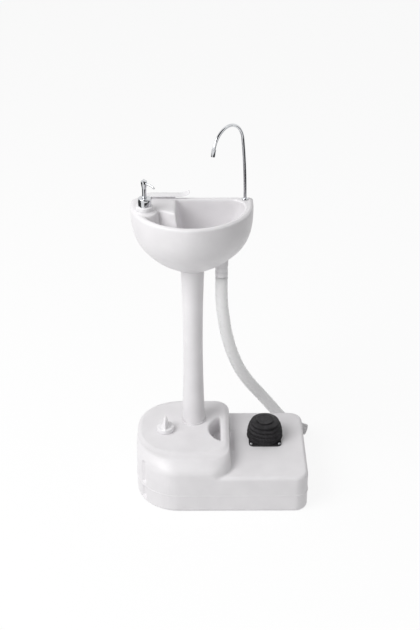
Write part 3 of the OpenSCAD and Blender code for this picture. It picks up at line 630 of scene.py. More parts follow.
def seen_directly(tree):
    """1 for camera, glossy and transmission rays, 0 for the light that falls on the object."""
    path = tree.nodes.new("ShaderNodeLightPath")
    total = path.outputs["Is Camera Ray"]
    for ray in ("Is Glossy Ray", "Is Transmission Ray"):
        most = tree.nodes.new("ShaderNodeMath")
        most.operation = "MAXIMUM"
        tree.links.new(total, most.inputs[0])
        tree.links.new(path.outputs[ray], most.inputs[1])
        total = most.outputs[0]
    return total


def make_world():
    world = bpy.data.worlds.new("studio")
    bpy.context.scene.world = world
    world.use_nodes = True
    tree = world.node_tree
    strength = tree.nodes.new("ShaderNodeMapRange")
    strength.inputs["To Min"].default_value = WORLD_FILL
    strength.inputs["To Max"].default_value = 1.0
    tree.links.new(seen_directly(tree), strength.inputs["Value"])
    background = tree.nodes["Background"]
    background.inputs["Color"].default_value = (1, 1, 1, 1)
    tree.links.new(strength.outputs["Result"], background.inputs["Strength"])


def make_sheet(name, corners):
    """A four-cornered sheet of the stage, in metres, and the node tree of its material."""
    mesh = bpy.data.meshes.new(name)
    mesh.from_pydata(corners, [], [(0, 1, 2, 3)])
    sheet = bpy.data.objects.new(name, mesh)
    bpy.context.scene.collection.objects.link(sheet)
    material = bpy.data.materials.new(name)
    material.use_nodes = True
    mesh.materials.append(material)
    return sheet, material.node_tree


def make_floor():
    """Pale floor. Where it is seen, part of its brightness is its own, and the rest is the light
    that falls on it, which holds the shadow. As a reflector of light it is plain grey."""
    half = FLOOR_HALF
    floor, tree = make_sheet("floor", [(-half, -half, 0), (half, -half, 0), (half, half, 0),
                                       (-half, half, 0)])
    tree.nodes.remove(tree.nodes["Principled BSDF"])
    seen = seen_directly(tree)
    plain = tree.nodes.new("ShaderNodeBsdfDiffuse")
    plain.inputs["Color"].default_value = (0.8, 0.8, 0.8, 1)
    dim = tree.nodes.new("ShaderNodeBsdfDiffuse")
    dim.inputs["Color"].default_value = (FLOOR_LIT, FLOOR_LIT, FLOOR_LIT, 1)
    own = tree.nodes.new("ShaderNodeEmission")
    own.inputs["Strength"].default_value = FLOOR_GLOW
    total = tree.nodes.new("ShaderNodeAddShader")
    tree.links.new(dim.outputs[0], total.inputs[0])
    tree.links.new(own.outputs[0], total.inputs[1])
    mix = tree.nodes.new("ShaderNodeMixShader")
    tree.links.new(seen, mix.inputs[0])
    tree.links.new(plain.outputs[0], mix.inputs[1])
    tree.links.new(total.outputs[0], mix.inputs[2])
    tree.links.new(mix.outputs[0], tree.nodes["Material Output"].inputs["Surface"])


def area_light(name, place, target, side, power):
    """A square lamp, in metres and watts, that looks at its target."""
    data = bpy.data.lights.new(name, "AREA")
    data.shape = "RECTANGLE"
    data.size = data.size_y = side
    data.energy = power
    light = bpy.data.objects.new(name, data)
    light.location = place
    light.rotation_euler = (Vector(target) - Vector(place)).to_track_quat("-Z", "Y").to_euler()
    bpy.context.scene.collection.objects.link(light)


def dark_card(name, corners, shade):
    """A dark card off the stage, which only bright metal mirrors."""
    card, tree = make_sheet(name, corners)
    shader = tree.nodes["Principled BSDF"]
    shader.inputs["Base Color"].default_value = (shade, shade, shade, 1)
    shader.inputs["Roughness"].default_value = 0.9
    card.visible_camera = False
    card.visible_diffuse = False
    card.visible_shadow = False
    card.visible_transmission = False


def upright(turn, half_width):
    """Corners of a card on the floor, turned that many degrees from the front to the right."""
    ahead = Vector((math.sin(math.radians(turn)), -math.cos(math.radians(turn)), 0))
    across = Vector((-ahead.y, ahead.x, 0)) * half_width
    a, b = ahead * CARD_REACH - across, ahead * CARD_REACH + across
    return [(a.x, a.y, 0), (b.x, b.y, 0), (b.x, b.y, CARD_H), (a.x, a.y, CARD_H)]


def make_stage():
    make_world()
    make_floor()
    area_light("key", (-2.6, -1.75, 3.2), (0, 0, 0.5), 2.8, 130)
    area_light("top", (0.2, 0.3, 3.2), (0, 0, 0.4), 2.2, 3)
    dark_card("card_front", upright(22, 0.72), 0.05)
    dark_card("card_right", upright(80, 0.54), 0.05)
    dark_card("card_left", upright(-92, 0.72), 0.08)
    dark_card("card_over", [(-0.7, -1.9, 1.9), (0.9, -1.9, 1.9), (0.9, 0.2, 1.9), (-0.7, 0.2, 1.9)],
              0.05)


# Hose

def open_ended(path, radius, wall, deep, segments):
    """A closed tube along a path, its last deep steps bored out. Light spreads right through it."""
    outer, faces = sweep(path, radius, segments, closed_ends=False)
    first = (len(path) - 1 - deep) * segments
    inner = sweep(path, radius - wall, segments, closed_ends=False)[0][first:]
    base, last = len(outer), len(outer) - segments
    rim = base + deep * segments
    faces.append(list(range(segments))[::-1])
    faces.append([base + k for k in range(segments)])
    for k in range(segments):
        j = (k + 1) % segments
        for row in range(base, rim, segments):
            faces.append([row + j, row + k, row + segments + k, row + segments + j])
        faces.append([last + k, last + j, rim + j, rim + k])
    return outer + inner, faces


def drain_hose():
    path = curve(HOSE_ROUTE, 8)
    points, faces = open_ended(path, HOSE_R, HOSE_WALL, HOSE_BORED_STEPS, 48)
    hose = add_mesh("drain_hose_tube", points, faces, "stand", "hose_white", ["drain_hose"], 40)


# Tank

def step_face(z):
    """Where the shoulder's right face stands at height z, with its draft and root fillet."""
    slope = SHOULDER_Z - SHOULDER_EDGE_R
    wall = STEP_X + STEP_DRAFT * (slope - z)
    root = STEP_X + STEP_DRAFT * (slope - DECK_Z - STEP_FILLET)
    rise = np.clip(z - DECK_Z, 0, STEP_FILLET)
    flare = root + STEP_FILLET - np.sqrt(STEP_FILLET ** 2 - (STEP_FILLET - rise) ** 2)
    return np.where(z - DECK_Z >= STEP_FILLET, wall, flare)


def tank_body(grid):
    """The low deck's block and the raised shoulder on it, whose front is a long round brow."""
    z = grid.z
    plan = outline_field(grid, -HALF_L, HALF_L, -HALF_D, HALF_D, END_R, CORNER_R, CORNER_R, END_R)
    low = round_slab(plan, z, 0, DECK_Z, BASE_EDGE_R, DECK_EDGE_R)
    side = draw_in(z, SHOULDER_Z, SHOULDER_EDGE_R)
    front = draw_in(z, SHOULDER_Z, BROW_H) * BROW_D / BROW_H
    plan = outline_field(grid, -HALF_L + side, step_face(z) - side, -HALF_D + front, HALF_D - side,
                         END_R - side, SHOULDER_FRONT_R - side, SHOULDER_BACK_R - side,
                         END_R - side)
    ends = np.maximum(z - SHOULDER_Z, SHOULDER_ROOT_Z - z)
    return np.minimum(low, np.maximum(as_distance(grid, plan), ends))


def hand_space(grid):
    """The hand slot, and the tunnel from it under the grip bar, with the ramp up to the deck."""
    x, y, z = grid.x, grid.y, grid.z
    bow_r = ((SLOT_L / 2) ** 2 + SLOT_W ** 2) / (2 * SLOT_W)
    plan = np.sqrt((x - SLOT_RIGHT + SLOT_W - bow_r) ** 2 + (y - SLOT_MID_Y) ** 2) - bow_r
    aside = np.abs(y - SLOT_MID_Y) - SLOT_L / 2
    slot = both(both(plan, x - SLOT_RIGHT, SLOT_CORNER_R), aside, SLOT_CORNER_R)
    slot = np.maximum(slot, TUNNEL_Z - z)
    out = np.clip((x - TUNNEL_RIGHT + TUNNEL_RAMP) / TUNNEL_RAMP, 0, 1)
    ramp = TUNNEL_Z + out * (DECK_Z - TUNNEL_Z)
    tunnel = both(ramp - z, z - SHOULDER_Z + BAR_H, TUNNEL_EDGE_R)
    tunnel = both(tunnel, aside + TUNNEL_INSET, TUNNEL_EDGE_R)
    tunnel = np.maximum(tunnel, np.maximum(TUNNEL_LEFT - x, x - TUNNEL_RIGHT))
    return either(slot, tunnel, 3)


def flutes(grid):
    """The upright grooves in the round left end, parted by a plain band at the flange."""
    field = None
    for turn in (-FLUTE_TURN, FLUTE_TURN):
        side = 1 if turn > 0 else -1
        reach = END_R + FLUTE_R - FLUTE_DEEP
        place = (-HALF_L + END_R - reach * math.cos(math.radians(turn)),
                 side * (HALF_D - END_R) + reach * math.sin(math.radians(turn)))
        upper = post(grid, place, FLUTE_R, FLANGE_Z + FLUTE_BAND, FLUTE_HEAD, FLUTE_EDGE_R)
        lower = post(grid, place, FLUTE_R, FLUTE_FOOT, FLANGE_Z - FLUTE_BAND, FLUTE_EDGE_R)
        pair = np.minimum(upper, lower)
        field = pair if field is None else np.minimum(field, pair)
    return field


def tank():
    grid = Grid((-HALF_L, -HALF_D, 0), (HALF_L, HALF_D, SHOULDER_Z + FILLER_H), 2.0)
    column_hole = post(grid, COLUMN_AT, SPIGOT_FOOT_R + FIT, SHOULDER_Z - SPIGOT_FOOT_H, ABOVE_TANK)
    field = without(tank_body(grid), hand_space(grid), SLOT_LIP_R)
    field = without(field, flutes(grid), FLUTE_EDGE_R)
    field = soften(grid, without(field, column_hole), 1)
    field = np.maximum(field, -(field + TANK_WALL))
    neck = post(grid, FILLER_AT, FILLER_R, SHOULDER_Z - TANK_WALL, SHOULDER_Z + FILLER_H, 1)
    field = either(field, neck, 3)
    for at, radius, top in ((FILLER_AT, FILLER_BORE, SHOULDER_Z), (PUMP_AT, PUMP_HOLE_R, DECK_Z)):
        field = without(field, post(grid, at, radius, top - HOLE_DEEP, ABOVE_TANK))
    implicit_mesh("tank_shell", grid, field, "stand", "moulded_white", ["tank"], 0.02)


def rim_path(x0, x1, y0, y1, radii, steps):
    """Points round a round-cornered outline, with each point's outward direction."""
    out = []
    corners = [(x0, y0, 1, 1, 180), (x1, y0, -1, 1, 270), (x1, y1, -1, -1, 0), (x0, y1, 1, -1, 90)]
    for (x, y, sx, sy, start), r in zip(corners, radii):
        for k in range(steps + 1):
            a = math.radians(start + 90 * k / steps)
            n = (math.cos(a), math.sin(a))
            out.append(((x + sx * r + r * n[0], y + sy * r + r * n[1]), n))
    return out


def tank_seam():
    """The parting flange: a thin lip, prouder at the ends than at the front and back."""
    lip = [(-1.5, -1.7), (0.7, -1.25), (1.3, -0.9), (1.5, -0.4),
           (1.5, 0.4), (1.3, 0.9), (0.7, 1.25), (-1.5, 1.7)]
    ring = rim_path(-HALF_L, HALF_L, -HALF_D, HALF_D, (END_R, CORNER_R, CORNER_R, END_R), 20)
    points = []
    for p, n in ring:
        proud = 0.3 + 0.7 * n[0] ** 2
        points += [(p[0] + n[0] * out * proud, p[1] + n[1] * out * proud, FLANGE_Z + up)
                   for out, up in lip]
    count, across = len(ring), len(lip)
    faces = []
    for i in range(count):
        a, b = i * across, (i + 1) % count * across
        for k in range(across):
            j = (k + 1) % across
            faces.append([a + k, b + k, b + j, a + j])
    add_mesh("tank_seam", points, faces, "stand", "moulded_white", sharp=50)


def fill_cap():
    grid = Grid((FILLER_AT[0] - CAP_R, FILLER_AT[1] - CAP_R, SHOULDER_Z),
                (FILLER_AT[0] + CAP_R, FILLER_AT[1] + CAP_R, CAP_TOP + BLADE_H), 0.7)
    x, y, z = grid.x - FILLER_AT[0], grid.y - FILLER_AT[1], grid.z
    disc = post(grid, FILLER_AT, CAP_R, SHOULDER_Z + FIT, CAP_TOP, 2.5)
    rise = np.clip((z - CAP_TOP) / (BLADE_H - 0.5), 0, 1)
    half_w = BLADE_W / 2 * (1 - BLADE_NARROWS * rise)
    half_l = BLADE_L / 2 * (1 - BLADE_SHORTENS * rise ** 1.6)
    bow_r = (half_l ** 2 + half_w ** 2) / (2 * half_w)
    leaf = np.sqrt((np.abs(x) + bow_r - half_w) ** 2 + y ** 2) - bow_r
    blade = both(leaf, z - CAP_TOP - BLADE_H + 0.5, BLADE_EDGE_R)
    blade = np.maximum(blade, CAP_TOP - 6 - z)
    field = either(disc, as_distance(grid, blade), BLADE_EDGE_R)
    field = without(field, post(grid, FILLER_AT, FILLER_R + 2 * FIT, SHOULDER_Z - 4,
                                SHOULDER_Z + FILLER_H + 1.5))
    implicit_mesh("filler_cap", grid, field, "cap", "gloss_white", ["fill_cap"], 0.01)


# Column

def column():
    """The waisted tube with the spigots that plug into tank and bowl, and the ring at its foot."""
    steps = 40
    skin = []
    for i in range(steps + 1):
        t = i / steps
        if t < WAIST_PART:
            r = WAIST_R + (FOOT_R - WAIST_R) * ((WAIST_PART - t) / WAIST_PART) ** 2
        else:
            r = WAIST_R + (CROWN_TUBE_R - WAIST_R) * ((t - WAIST_PART) / (1 - WAIST_PART)) ** 2
        skin.append((r, SHOULDER_Z + COLUMN_L * t))
    foot_bore, crown_bore = SPIGOT_FOOT_R - COLUMN_WALL, SPIGOT_CROWN_R - COLUMN_WALL
    low, high = SHOULDER_Z - SPIGOT_FOOT_H, CROWN_Z + SPIGOT_CROWN_H
    profile = [(foot_bore, low), (SPIGOT_FOOT_R, low), (SPIGOT_FOOT_R, SHOULDER_Z)]
    profile += skin
    profile += [(SPIGOT_CROWN_R, CROWN_Z), (SPIGOT_CROWN_R, high), (crown_bore, high),
                (crown_bore, CROWN_Z - 4)]
    profile += [(r - COLUMN_WALL, z) for r, z in skin[-3:2:-1]] + [(foot_bore, SHOULDER_Z + 6)]
    add_turned("column_tube", profile, 96, COLUMN_AT, "stand", "moulded_white", ["column"], 35)
    bore, outer, top = FOOT_R + FIT, FOOT_R + FIT + COLLAR_W, SHOULDER_Z + COLLAR_H
    ring = fillet([(bore, SHOULDER_Z, 0), (outer, SHOULDER_Z, 0), (outer, top, 1.6),
                   (bore, top, 0.4)])
    add_turned("column_ring", ring, 96, COLUMN_AT, "stand", "moulded_white", ["column_collar"], 35)


# Bowl

def spread(z, power, lean):
    """Share of the bowl's full width or front reached at height z."""
    t = np.clip((z - CROWN_Z) / BOWL_H, 0, 1)
    return (1 - (1 - t) ** power) ** lean


def bowl_plan(grid, front, side, back, right_r, left_r):
    """The bowl's outline at every height, drawn in by front, side and back.

    right_r and left_r are the radii of its back corners.
    """
    s, f = spread(grid.z, SIDE_POWER, SIDE_LEAN), spread(grid.z, FRONT_POWER, FRONT_LEAN)
    half = CROWN_R + (BOWL_W / 2 - CROWN_R) * s - side
    front_y = COLUMN_AT[1] - CROWN_R + (BOWL_FRONT - COLUMN_AT[1] + CROWN_R) * f + front
    back_y = COLUMN_AT[1] + CROWN_R + (BOWL_BACK - COLUMN_AT[1] - CROWN_R) * s - back
    x = grid.x - COLUMN_AT[0]
    back_r = np.minimum(half, np.where(x < 0, left_r, right_r))
    front_r = np.minimum(half, back_y - front_y - back_r)
    field = np.maximum(np.abs(x) - half, np.maximum(front_y - grid.y, grid.y - back_y))
    for r, past in ((front_r, front_y + front_r - grid.y), (back_r, grid.y - back_y + back_r)):
        side_past = np.abs(x) - half + r
        corner = np.sqrt(side_past ** 2 + past ** 2) - r
        field = np.where((side_past > 0) & (past > 0), np.maximum(field, corner), field)
    return field


def basin_outside(grid):
    e = draw_in(grid.z, RIM_Z, RIM_EDGE_R)
    s = spread(grid.z, SIDE_POWER, SIDE_LEAN)
    right_r, left_r = (np.maximum(0.5, CROWN_R + (r - CROWN_R) * s - e)
                       for r in (BACK_RIGHT_R, BACK_LEFT_R))
    field = bowl_plan(grid, e, e, e, right_r, left_r)
    return np.maximum(as_distance(grid, field), np.maximum(grid.z - RIM_Z, CROWN_Z - grid.z))


def basin_inside(grid):
    """The room inside the bowl, round at the floor's edge, its corners opening upwards."""
    u = np.clip((grid.z - FLOOR_Z) / INSIDE_H, 0, 1)
    under = FLOOR_EDGE_R - np.clip(grid.z - FLOOR_Z, 0, FLOOR_EDGE_R)
    e = FLOOR_EDGE_R - np.sqrt(np.maximum(0, FLOOR_EDGE_R ** 2 - under ** 2))
    corner_r = FLOOR_CORNER_R + CORNER_R_GROWS * u
    side = FLOOR_SIDE + (RIM_SIDE - FLOOR_SIDE) * u + e
    field = bowl_plan(grid, RIM_FRONT + e, side, RIM_BACK + e, corner_r, corner_r)
    return np.maximum(as_distance(grid, field), FLOOR_Z - grid.z)


def basin_corner(grid):
    """The deck round the soap boss and on to the back rim, which stands on leaning walls."""
    x, y = grid.x, grid.y
    run = CORNER_LEAN * (RIM_Z - grid.z)
    well = np.sqrt((x - SOAP_AT[0]) ** 2 + (y - SOAP_AT[1]) ** 2) - CORNER_ROUND_R - run
    edge_y = CORNER_FRONT_Y + (CORNER_RIGHT - x) * CORNER_SKEW
    front = (edge_y - y) / math.hypot(1, CORNER_SKEW) - run
    return either(both(x - CORNER_RIGHT - run, front, 6), well, 3)


def basin():
    left, right = COLUMN_AT[0] - BOWL_W / 2, COLUMN_AT[0] + BOWL_W / 2
    grid = Grid((left, BOWL_FRONT, CROWN_Z), (right, BOWL_BACK, RIM_Z + BOSS_H), 1.75)
    space = without(basin_inside(grid), basin_corner(grid), CORNER_ROOT_R)
    field = without(basin_outside(grid), space, RIM_LIP_R)
    field = soften(grid, field, 1)
    field = either(field, post(grid, SOAP_AT, BOSS_R, RIM_Z - 6, RIM_Z + BOSS_H, 1.6), 3)
    field = either(field, post(grid, DRAIN_AT, DRAIN_BOSS_R, DRAIN_BOSS_Z, FLOOR_Z - 1, 1), 3)
    field = np.maximum(field, -(field + BOWL_WALL))
    under_crown, under_rim = CROWN_Z - 9, RIM_Z - 4
    for at, radius, low, high in (
            (COLUMN_AT, SPIGOT_CROWN_R, under_crown, CROWN_Z + SPIGOT_CROWN_H),
            (DRAIN_AT, DRAIN_R, under_crown, ABOVE_BOWL),
            (SOAP_AT, BOTTLE_R, under_rim, ABOVE_BOWL),
            (SPOUT_AT, SHANK_R, under_rim, ABOVE_BOWL),
            (PIN_AT, PIN_R, under_rim, ABOVE_BOWL)):
        field = without(field, post(grid, at, radius + FIT, low, high))
    implicit_mesh("basin_bowl", grid, field, "stand", "moulded_white", ["basin"], 0.02)


def hose_cuff():
    """The cuff on the hose's end and the round nut over it, whose lip hides the seal."""
    bore = DRAIN_R + 0.2
    lip = HOSE_R - 1
    low = HOSE_ROUTE[0][2]
    seat = DRAIN_BOSS_Z - DRAIN_SEAL_H
    top = seat - DRAIN_NUT_H
    nut_top = DRAIN_BOSS_Z - 0.1
    nut = fillet([(bore, top + 0.1, 0), (HOSE_R, top + 0.1, 0.8), (HOSE_R, nut_top, 0.4),
                  (lip, nut_top, 0), (lip, seat, 0), (bore, seat, 0)], 6)
    add_turned("drain_ring_nut", nut, 64, DRAIN_AT, "stand", "gloss_white", ["drain_nut"], 40)
    seal = [(bore, seat), (lip - 0.1, seat), (lip - 0.1, DRAIN_BOSS_Z), (bore, DRAIN_BOSS_Z)]
    add_turned("drain_seal", seal, 64, DRAIN_AT, "stand", "grey_rubber", ["drain_gasket"], 40)
    cuff = fillet([(bore, low, 0), (HOSE_R + 0.02, low, 0), (HOSE_R + 0.5, low + 4, 2),
                   (HOSE_R + 0.5, top, 4), (bore, top, 0.3)], 8)
    add_turned("hose_end_cuff", cuff, 64, DRAIN_AT, "stand", "gloss_white", ["hose_cuff"], 40)


# Soap dispenser

def soap_dispenser():
    """The bottle's screw ring, the pump's screw collar and the press head with its thin spout."""
    bore = SOAP_BORE_R
    ring = fillet([(bore, 0, 0), (SOAP_RING_R, 0, 0.8), (SOAP_RING_R, SOAP_RING_H, 3),
                   (bore, SOAP_RING_H, 0.5)], 6)
    add_turned("bottle_ring", ring, 72, (*SOAP_AT, SOAP_RING_Z), "stand", "gloss_white",
               ["soap_ring"], 40)
    hole = HEAD_R + 0.6
    profile = fillet([(bore, SOAP_COLLAR_Z, 0), (SOAP_COLLAR_R, SOAP_COLLAR_Z, 0.6),
                      (SOAP_COLLAR_R, SOAP_COLLAR_TOP - 6, 0),
                      (SOAP_COLLAR_R - 0.5, SOAP_COLLAR_TOP - 5, 0),
                      (SOAP_COLLAR_R - 0.7, SOAP_COLLAR_TOP, 2.4), (hole, SOAP_COLLAR_TOP, 0.4),
                      (hole, SOAP_CEILING, 0), (bore, SOAP_CEILING, 0)])
    add_turned("soap_screw_collar", profile, 72, SOAP_AT, "soap_pump", "chrome", ["soap_collar"],
               35)
    profile = fillet([(HEAD_SOCKET_R, 0, 0), (HEAD_R, 0, 0.4), (HEAD_R, 28, 6),
                      (HEAD_TOP_R, 41, 6), (HEAD_TOP_R, HEAD_H, 1.8)])
    profile += [(0, HEAD_H), (0, HEAD_SOCKET_H), (HEAD_SOCKET_R, HEAD_SOCKET_H)]
    heading = math.radians(SOAP_SPOUT_TURN)
    ahead = Vector((math.cos(heading), math.sin(heading), 0))
    line = [ahead * out + Vector((0, 0, HEAD_SPOUT_Z - drop)) for out, drop in SOAP_SPOUT_LINE]
    path = curve(line, 6)
    radii = [SOAP_SPOUT_R - SOAP_SPOUT_TAPER * i / (len(path) - 1) for i in range(len(path))]
    points, faces = joined(lathe(profile, 64), sweep(path, radii, 24, (0, 0, 1)))
    add_mesh("soap_press_head", moved(points, *SOAP_AT, HEAD_Z), faces, "soap_nozzle", "chrome",
             ["soap_head"], 40)


# Towel arm

def towel_arm():
    """A flat arm with a foot set back under it, an upturned tip and the pin that it swings on."""
    left = PIN_AT[0] - ARM_W / 2
    right = left + ARM_L
    front = PIN_AT[1] - PIN_INSET
    back = front + ARM_W
    tip = right - TIP_L
    inset = ARM_FOOT_INSET
    grid = Grid((left, front, ARM_Z - PIN_H), (right, back, ARM_Z + ARM_H + TIP_RISE), 0.8)
    t = np.clip((grid.x - tip) / TIP_L, 0, 1)
    low = ARM_Z + ARM_H - ARM_PLATE_H + TIP_RISE * t * t
    plan = outline_field(grid, left, right, front, back, ARM_W / 2, ARM_TIP_R, ARM_TIP_R, ARM_W / 2)
    field = round_slab(plan, grid.z, low, low + ARM_PLATE_H - TIP_THINS * t, 0.6, 0.9)
    foot = outline_field(grid, left + inset, tip - inset, front + inset, back - inset, 4, 2, 2, 4)
    field = either(field, round_slab(foot, grid.z, ARM_Z, ARM_Z + ARM_H - 1, 0.4, 0.4), 1)
    field = either(field, post(grid, PIN_AT, PIN_R, ARM_Z - PIN_H, ARM_Z + 2, 0.8), 1)
    implicit_mesh("towel_bar", grid, field, "towel_arm", "gloss_white", ["holder_arm"], 0.01)


# Spout

def gooseneck_path(ahead, up):
    """The spout's middle line: in its foot, up the slightly bowed riser and round the neck."""
    base = np.array((*SPOUT_AT, 0.0))
    start, riser_z = RIM_Z - SHANK_H + 4, RIM_Z + FAUCET_H
    path = [base + up * (start + (riser_z - start) * k / 5) for k in range(5)]
    lean = RISER_L / RISER_BOW_R
    for k in range(16):
        a = lean * k / 16
        path.append(base + ahead * RISER_BOW_R * (1 - math.cos(a))
                    + up * (riser_z + RISER_BOW_R * math.sin(a)))
    middle = base + ahead * (RISER_BOW_R - (RISER_BOW_R - NECK_R) * math.cos(lean))
    middle = middle + up * (riser_z + (RISER_BOW_R - NECK_R) * math.sin(lean))
    arc_steps = 56
    for k in range(arc_steps + 1):
        a = lean + (math.radians(SPOUT_ARC) - lean) * k / arc_steps
        path.append(middle - ahead * NECK_R * math.cos(a) + up * NECK_R * math.sin(a))
    return path


def faucet():
    """The chrome foot in the bowl's rim, the gooseneck that turns in it and its end piece."""
    foot, top = RIM_Z - SHANK_H, RIM_Z + FAUCET_H
    bore = SPOUT_R + SPOUT_FIT
    profile = fillet([(bore, foot + 3, 0), (2.3, foot + 3, 0), (2.3, foot, 0),
                      (SHANK_R, foot, 0.5), (SHANK_R, RIM_Z, 0), (8.5, RIM_Z, 0.3),
                      (8.2, RIM_Z + 2.2, 0.8), (6.6, top, 0.8), (bore, top, 0.1)])
    add_turned("faucet_foot", profile, 64, SPOUT_AT, "stand", "chrome", ["faucet_base"], 35)
    heading = math.radians(SPOUT_TURN)
    ahead = np.array((math.cos(heading), math.sin(heading), 0))
    up = np.array((0, 0, 1.0))
    path = gooseneck_path(ahead, up)
    points, faces = pipe(path, SPOUT_R, SPOUT_WALL, 40, (0, 1, 0))
    add_mesh("gooseneck", points, faces, "spout", "chrome", ["faucet_spout"], 40)
    a = math.radians(SPOUT_ARC)
    along = ahead * math.sin(a) + up * math.cos(a)
    bore = SPOUT_R + 0.3
    profile = fillet([(bore, -NOZZLE_GRIP, 0), (NOZZLE_R, -NOZZLE_GRIP, 0.5),
                      (NOZZLE_R, NOZZLE_OUT, 0.7), (4.3, NOZZLE_OUT, 0.3),
                      (4.1, NOZZLE_OUT - 3, 0), (NOZZLE_BORE_R, NOZZLE_OUT - 3, 0),
                      (NOZZLE_BORE_R, 0, 0), (bore, 0, 0)])
    points, faces = lathe(profile, 48)
    aim = Vector(along).to_track_quat("Z", "Y").to_matrix().to_4x4()
    points = turned(points, Matrix.Translation(Vector(path[-1])) @ aim)
    add_mesh("spout_tip", points, faces, "spout", "chrome", ["spout_nozzle"], 35)


# Foot pump

def pump_base():
    """The square foot plate, and under it the cup with the two ports for the tubes."""
    x0, x1 = PUMP_AT[0] - PLATE_HALF, PUMP_AT[0] + PLATE_HALF
    y0, y1 = PUMP_AT[1] - PLATE_HALF, PUMP_AT[1] + PLATE_HALF
    far = 60
    grid = Grid((x0, y0, PLATE_Z - PORT_H), (x1, y1, PLATE_Z + PLATE_H), 0.9)
    plan = outline_field(grid, x0, x1, y0, y1, *4 * (PLATE_CORNER_R,))
    plate = round_slab(plan, grid.z, PLATE_Z, PLATE_Z + PLATE_H, 0.6, 1.6)
    field = either(plate, post(grid, PUMP_AT, CUP_R, PLATE_Z - CUP_H, PLATE_Z + PLATE_H), 1)
    ports = [(PUMP_AT[0] + x, PUMP_AT[1]) for x in (-PORT_X, PORT_X)]
    for at in ports:
        field = either(field, post(grid, at, PORT_R, PLATE_Z - PORT_H, PLATE_Z - CUP_H + 1), 1)
    field = without(field, post(grid, PUMP_AT, CUP_R - CUP_WALL, PLATE_Z - CUP_H + CUP_WALL,
                                PLATE_Z + far))
    for at in ports:
        field = without(field, post(grid, at, PORT_BORE_R, PLATE_Z - far, PLATE_Z - 9))
    implicit_mesh("pump_foot", grid, field, "stand", "black_rubber", ["pump_base"], 0.01)


def pump_bellows():
    """The domed bellows, with soft folds and fine upright ribs."""
    pitch = BELLOWS_H / BELLOWS_FOLDS
    top_r = TREAD_R + 1

    def crest(i):
        t = i / BELLOWS_FOLDS
        return top_r + (BELLOWS_R - top_r) * math.sqrt(max(0, 1 - t * t))

    def rib(angle, r, z):
        if 1 < z < BELLOWS_H - 4 and r > TREAD_R:
            return r - 0.4 + 0.6 * math.cos(BELLOWS_RIBS * angle)
        return r

    skin = [(BELLOWS_FOOT_R, 0, 0)]
    for i in range(BELLOWS_FOLDS):
        skin += [(crest(i) - 2, pitch * (i + 0.08), 1.6), (crest(i) - 0.3, pitch * (i + 0.35), 2.6),
                 (crest(i) - 1.2, pitch * (i + 0.7), 3),
                 (crest(i + 1) - 1.8, pitch * (i + 0.98), 1.4)]
    skin += [(TREAD_R - 3, BELLOWS_H, 1)]
    inner = [(r - BELLOWS_WALL, min(z, BELLOWS_H - BELLOWS_WALL), 0) for r, z, _ in reversed(skin)]
    bellows = add_turned("bellows_skin", fillet(skin + inner, 4), 6 * BELLOWS_RIBS,
                         (*PUMP_AT, BELLOWS_Z), "stand", "black_rubber", ["pump_bellows"], 60, rib)
    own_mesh(bellows)


def pump_tread():
    profile = fillet([(0, 0, 0), (TREAD_R, 0, 0.4), (TREAD_R, TREAD_H, 1.4),
                      (TREAD_R - 3.5, TREAD_H, 0.8), (TREAD_R - 4.5, TREAD_H - 0.7, 0.8),
                      (0, TREAD_H - 0.7, 0)])
    add_turned("tread_disc", profile, 96, (*PUMP_AT, BELLOWS_Z + BELLOWS_H), "pump_top",
               "black_rubber", ["pump_tread"], 45)


def coil(r, wire, low, length, at):
    """Points and faces of a coil spring that stands at a point."""
    round_steps = 20
    steps = COIL_TURNS * round_steps
    path = []
    for i in range(steps + 1):
        a = 2 * math.pi * i / round_steps
        path.append((at[0] + r * math.cos(a), at[1] + r * math.sin(a),
                     low + wire + (length - 2 * wire) * i / steps))
    return sweep(path, wire, 12)


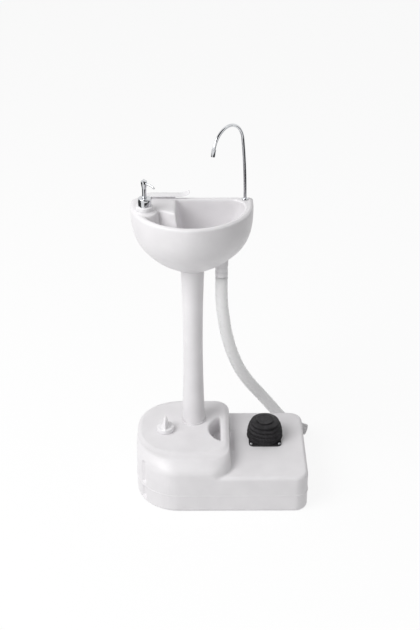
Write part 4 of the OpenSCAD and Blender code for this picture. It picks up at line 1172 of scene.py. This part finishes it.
def springs():
    low = PLATE_Z - CUP_H + CUP_WALL
    length = BELLOWS_Z + BELLOWS_H - low
    points, faces = coil(17, 1.2, low, length, PUMP_AT)
    spring = add_mesh("pump_return_spring", points, faces, "stand", "steel", ["pump_spring"])
    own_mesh(spring)
    low = SOAP_SPRING_Z
    length = SOAP_SPRING_TOP - low
    points, faces = coil(4.6, 0.6, low, length, SOAP_AT)
    spring = add_mesh("soap_return_spring", points, faces, "soap_pump", "steel", ["soap_spring"])
    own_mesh(spring)


def pump_screws():
    """Four pan-head screws with a cross recess."""
    half = 3.8
    grid = Grid((-half, -half, -SCREW_L), (half, half, SCREW_HEAD_H), 0.25)
    x, y, z = grid.x, grid.y, grid.z
    plan = np.sqrt(x ** 2 + y ** 2) - SCREW_HEAD_R
    head = round_slab(plan, z, 0, SCREW_HEAD_H, 0.1, 1.3)
    shank = post(grid, (0, 0), SCREW_R, -SCREW_L, 0.5)
    cross = np.minimum(np.maximum(np.abs(x) - RECESS_HALF_W, np.abs(y) - RECESS_HALF_L),
                       np.maximum(np.abs(y) - RECESS_HALF_W, np.abs(x) - RECESS_HALF_L))
    field = without(np.minimum(head, shank), np.maximum(cross, RECESS_Z - z), 0.2)
    points, faces = field_mesh(grid, field, 0.05)[:2]
    parts = [(moved(points, PUMP_AT[0] + i * SCREW_HALF, PUMP_AT[1] + j * SCREW_HALF,
                    PLATE_Z + PLATE_H), faces) for i in (-1, 1) for j in (-1, 1)]
    points, faces = joined(*parts)
    add_mesh("plate_screws", points, faces, "stand", "steel", ["pump_screws"], 40)


# Nodes of the frame that stay as they are, with their finishes
KEPT = {
    "grey_rubber": ["fill_cap_gasket", "soap_gasket", "holder_clip", "faucet_washer", "pump_gasket",
                    "pump_inlet_valve", "pump_outlet_valve"],
    "black_rubber": ["faucet_o_ring"],
    "gloss_white": ["soap_bottle", "soap_housing", "soap_stem", "suction_filter"],
    "chrome": ["drain_strainer"],
    "steel": ["faucet_lock_nut"],
    "clear_tube": ["soap_dip_tube", "suction_tube", "supply_tube"],
}


def finish_nodes():
    for material, names in KEPT.items():
        for name in names:
            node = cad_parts[name]
            node.data.materials.clear()
            node.data.materials.append(MATERIALS[material])


make_camera()
drain_hose()
make_stage()
tank()
tank_seam()
fill_cap()
column()
basin()
hose_cuff()
soap_dispenser()
towel_arm()
faucet()
pump_base()
pump_bellows()
pump_tread()
springs()
pump_screws()
finish_nodes()

bpy.context.scene.view_settings.view_transform = "Standard"
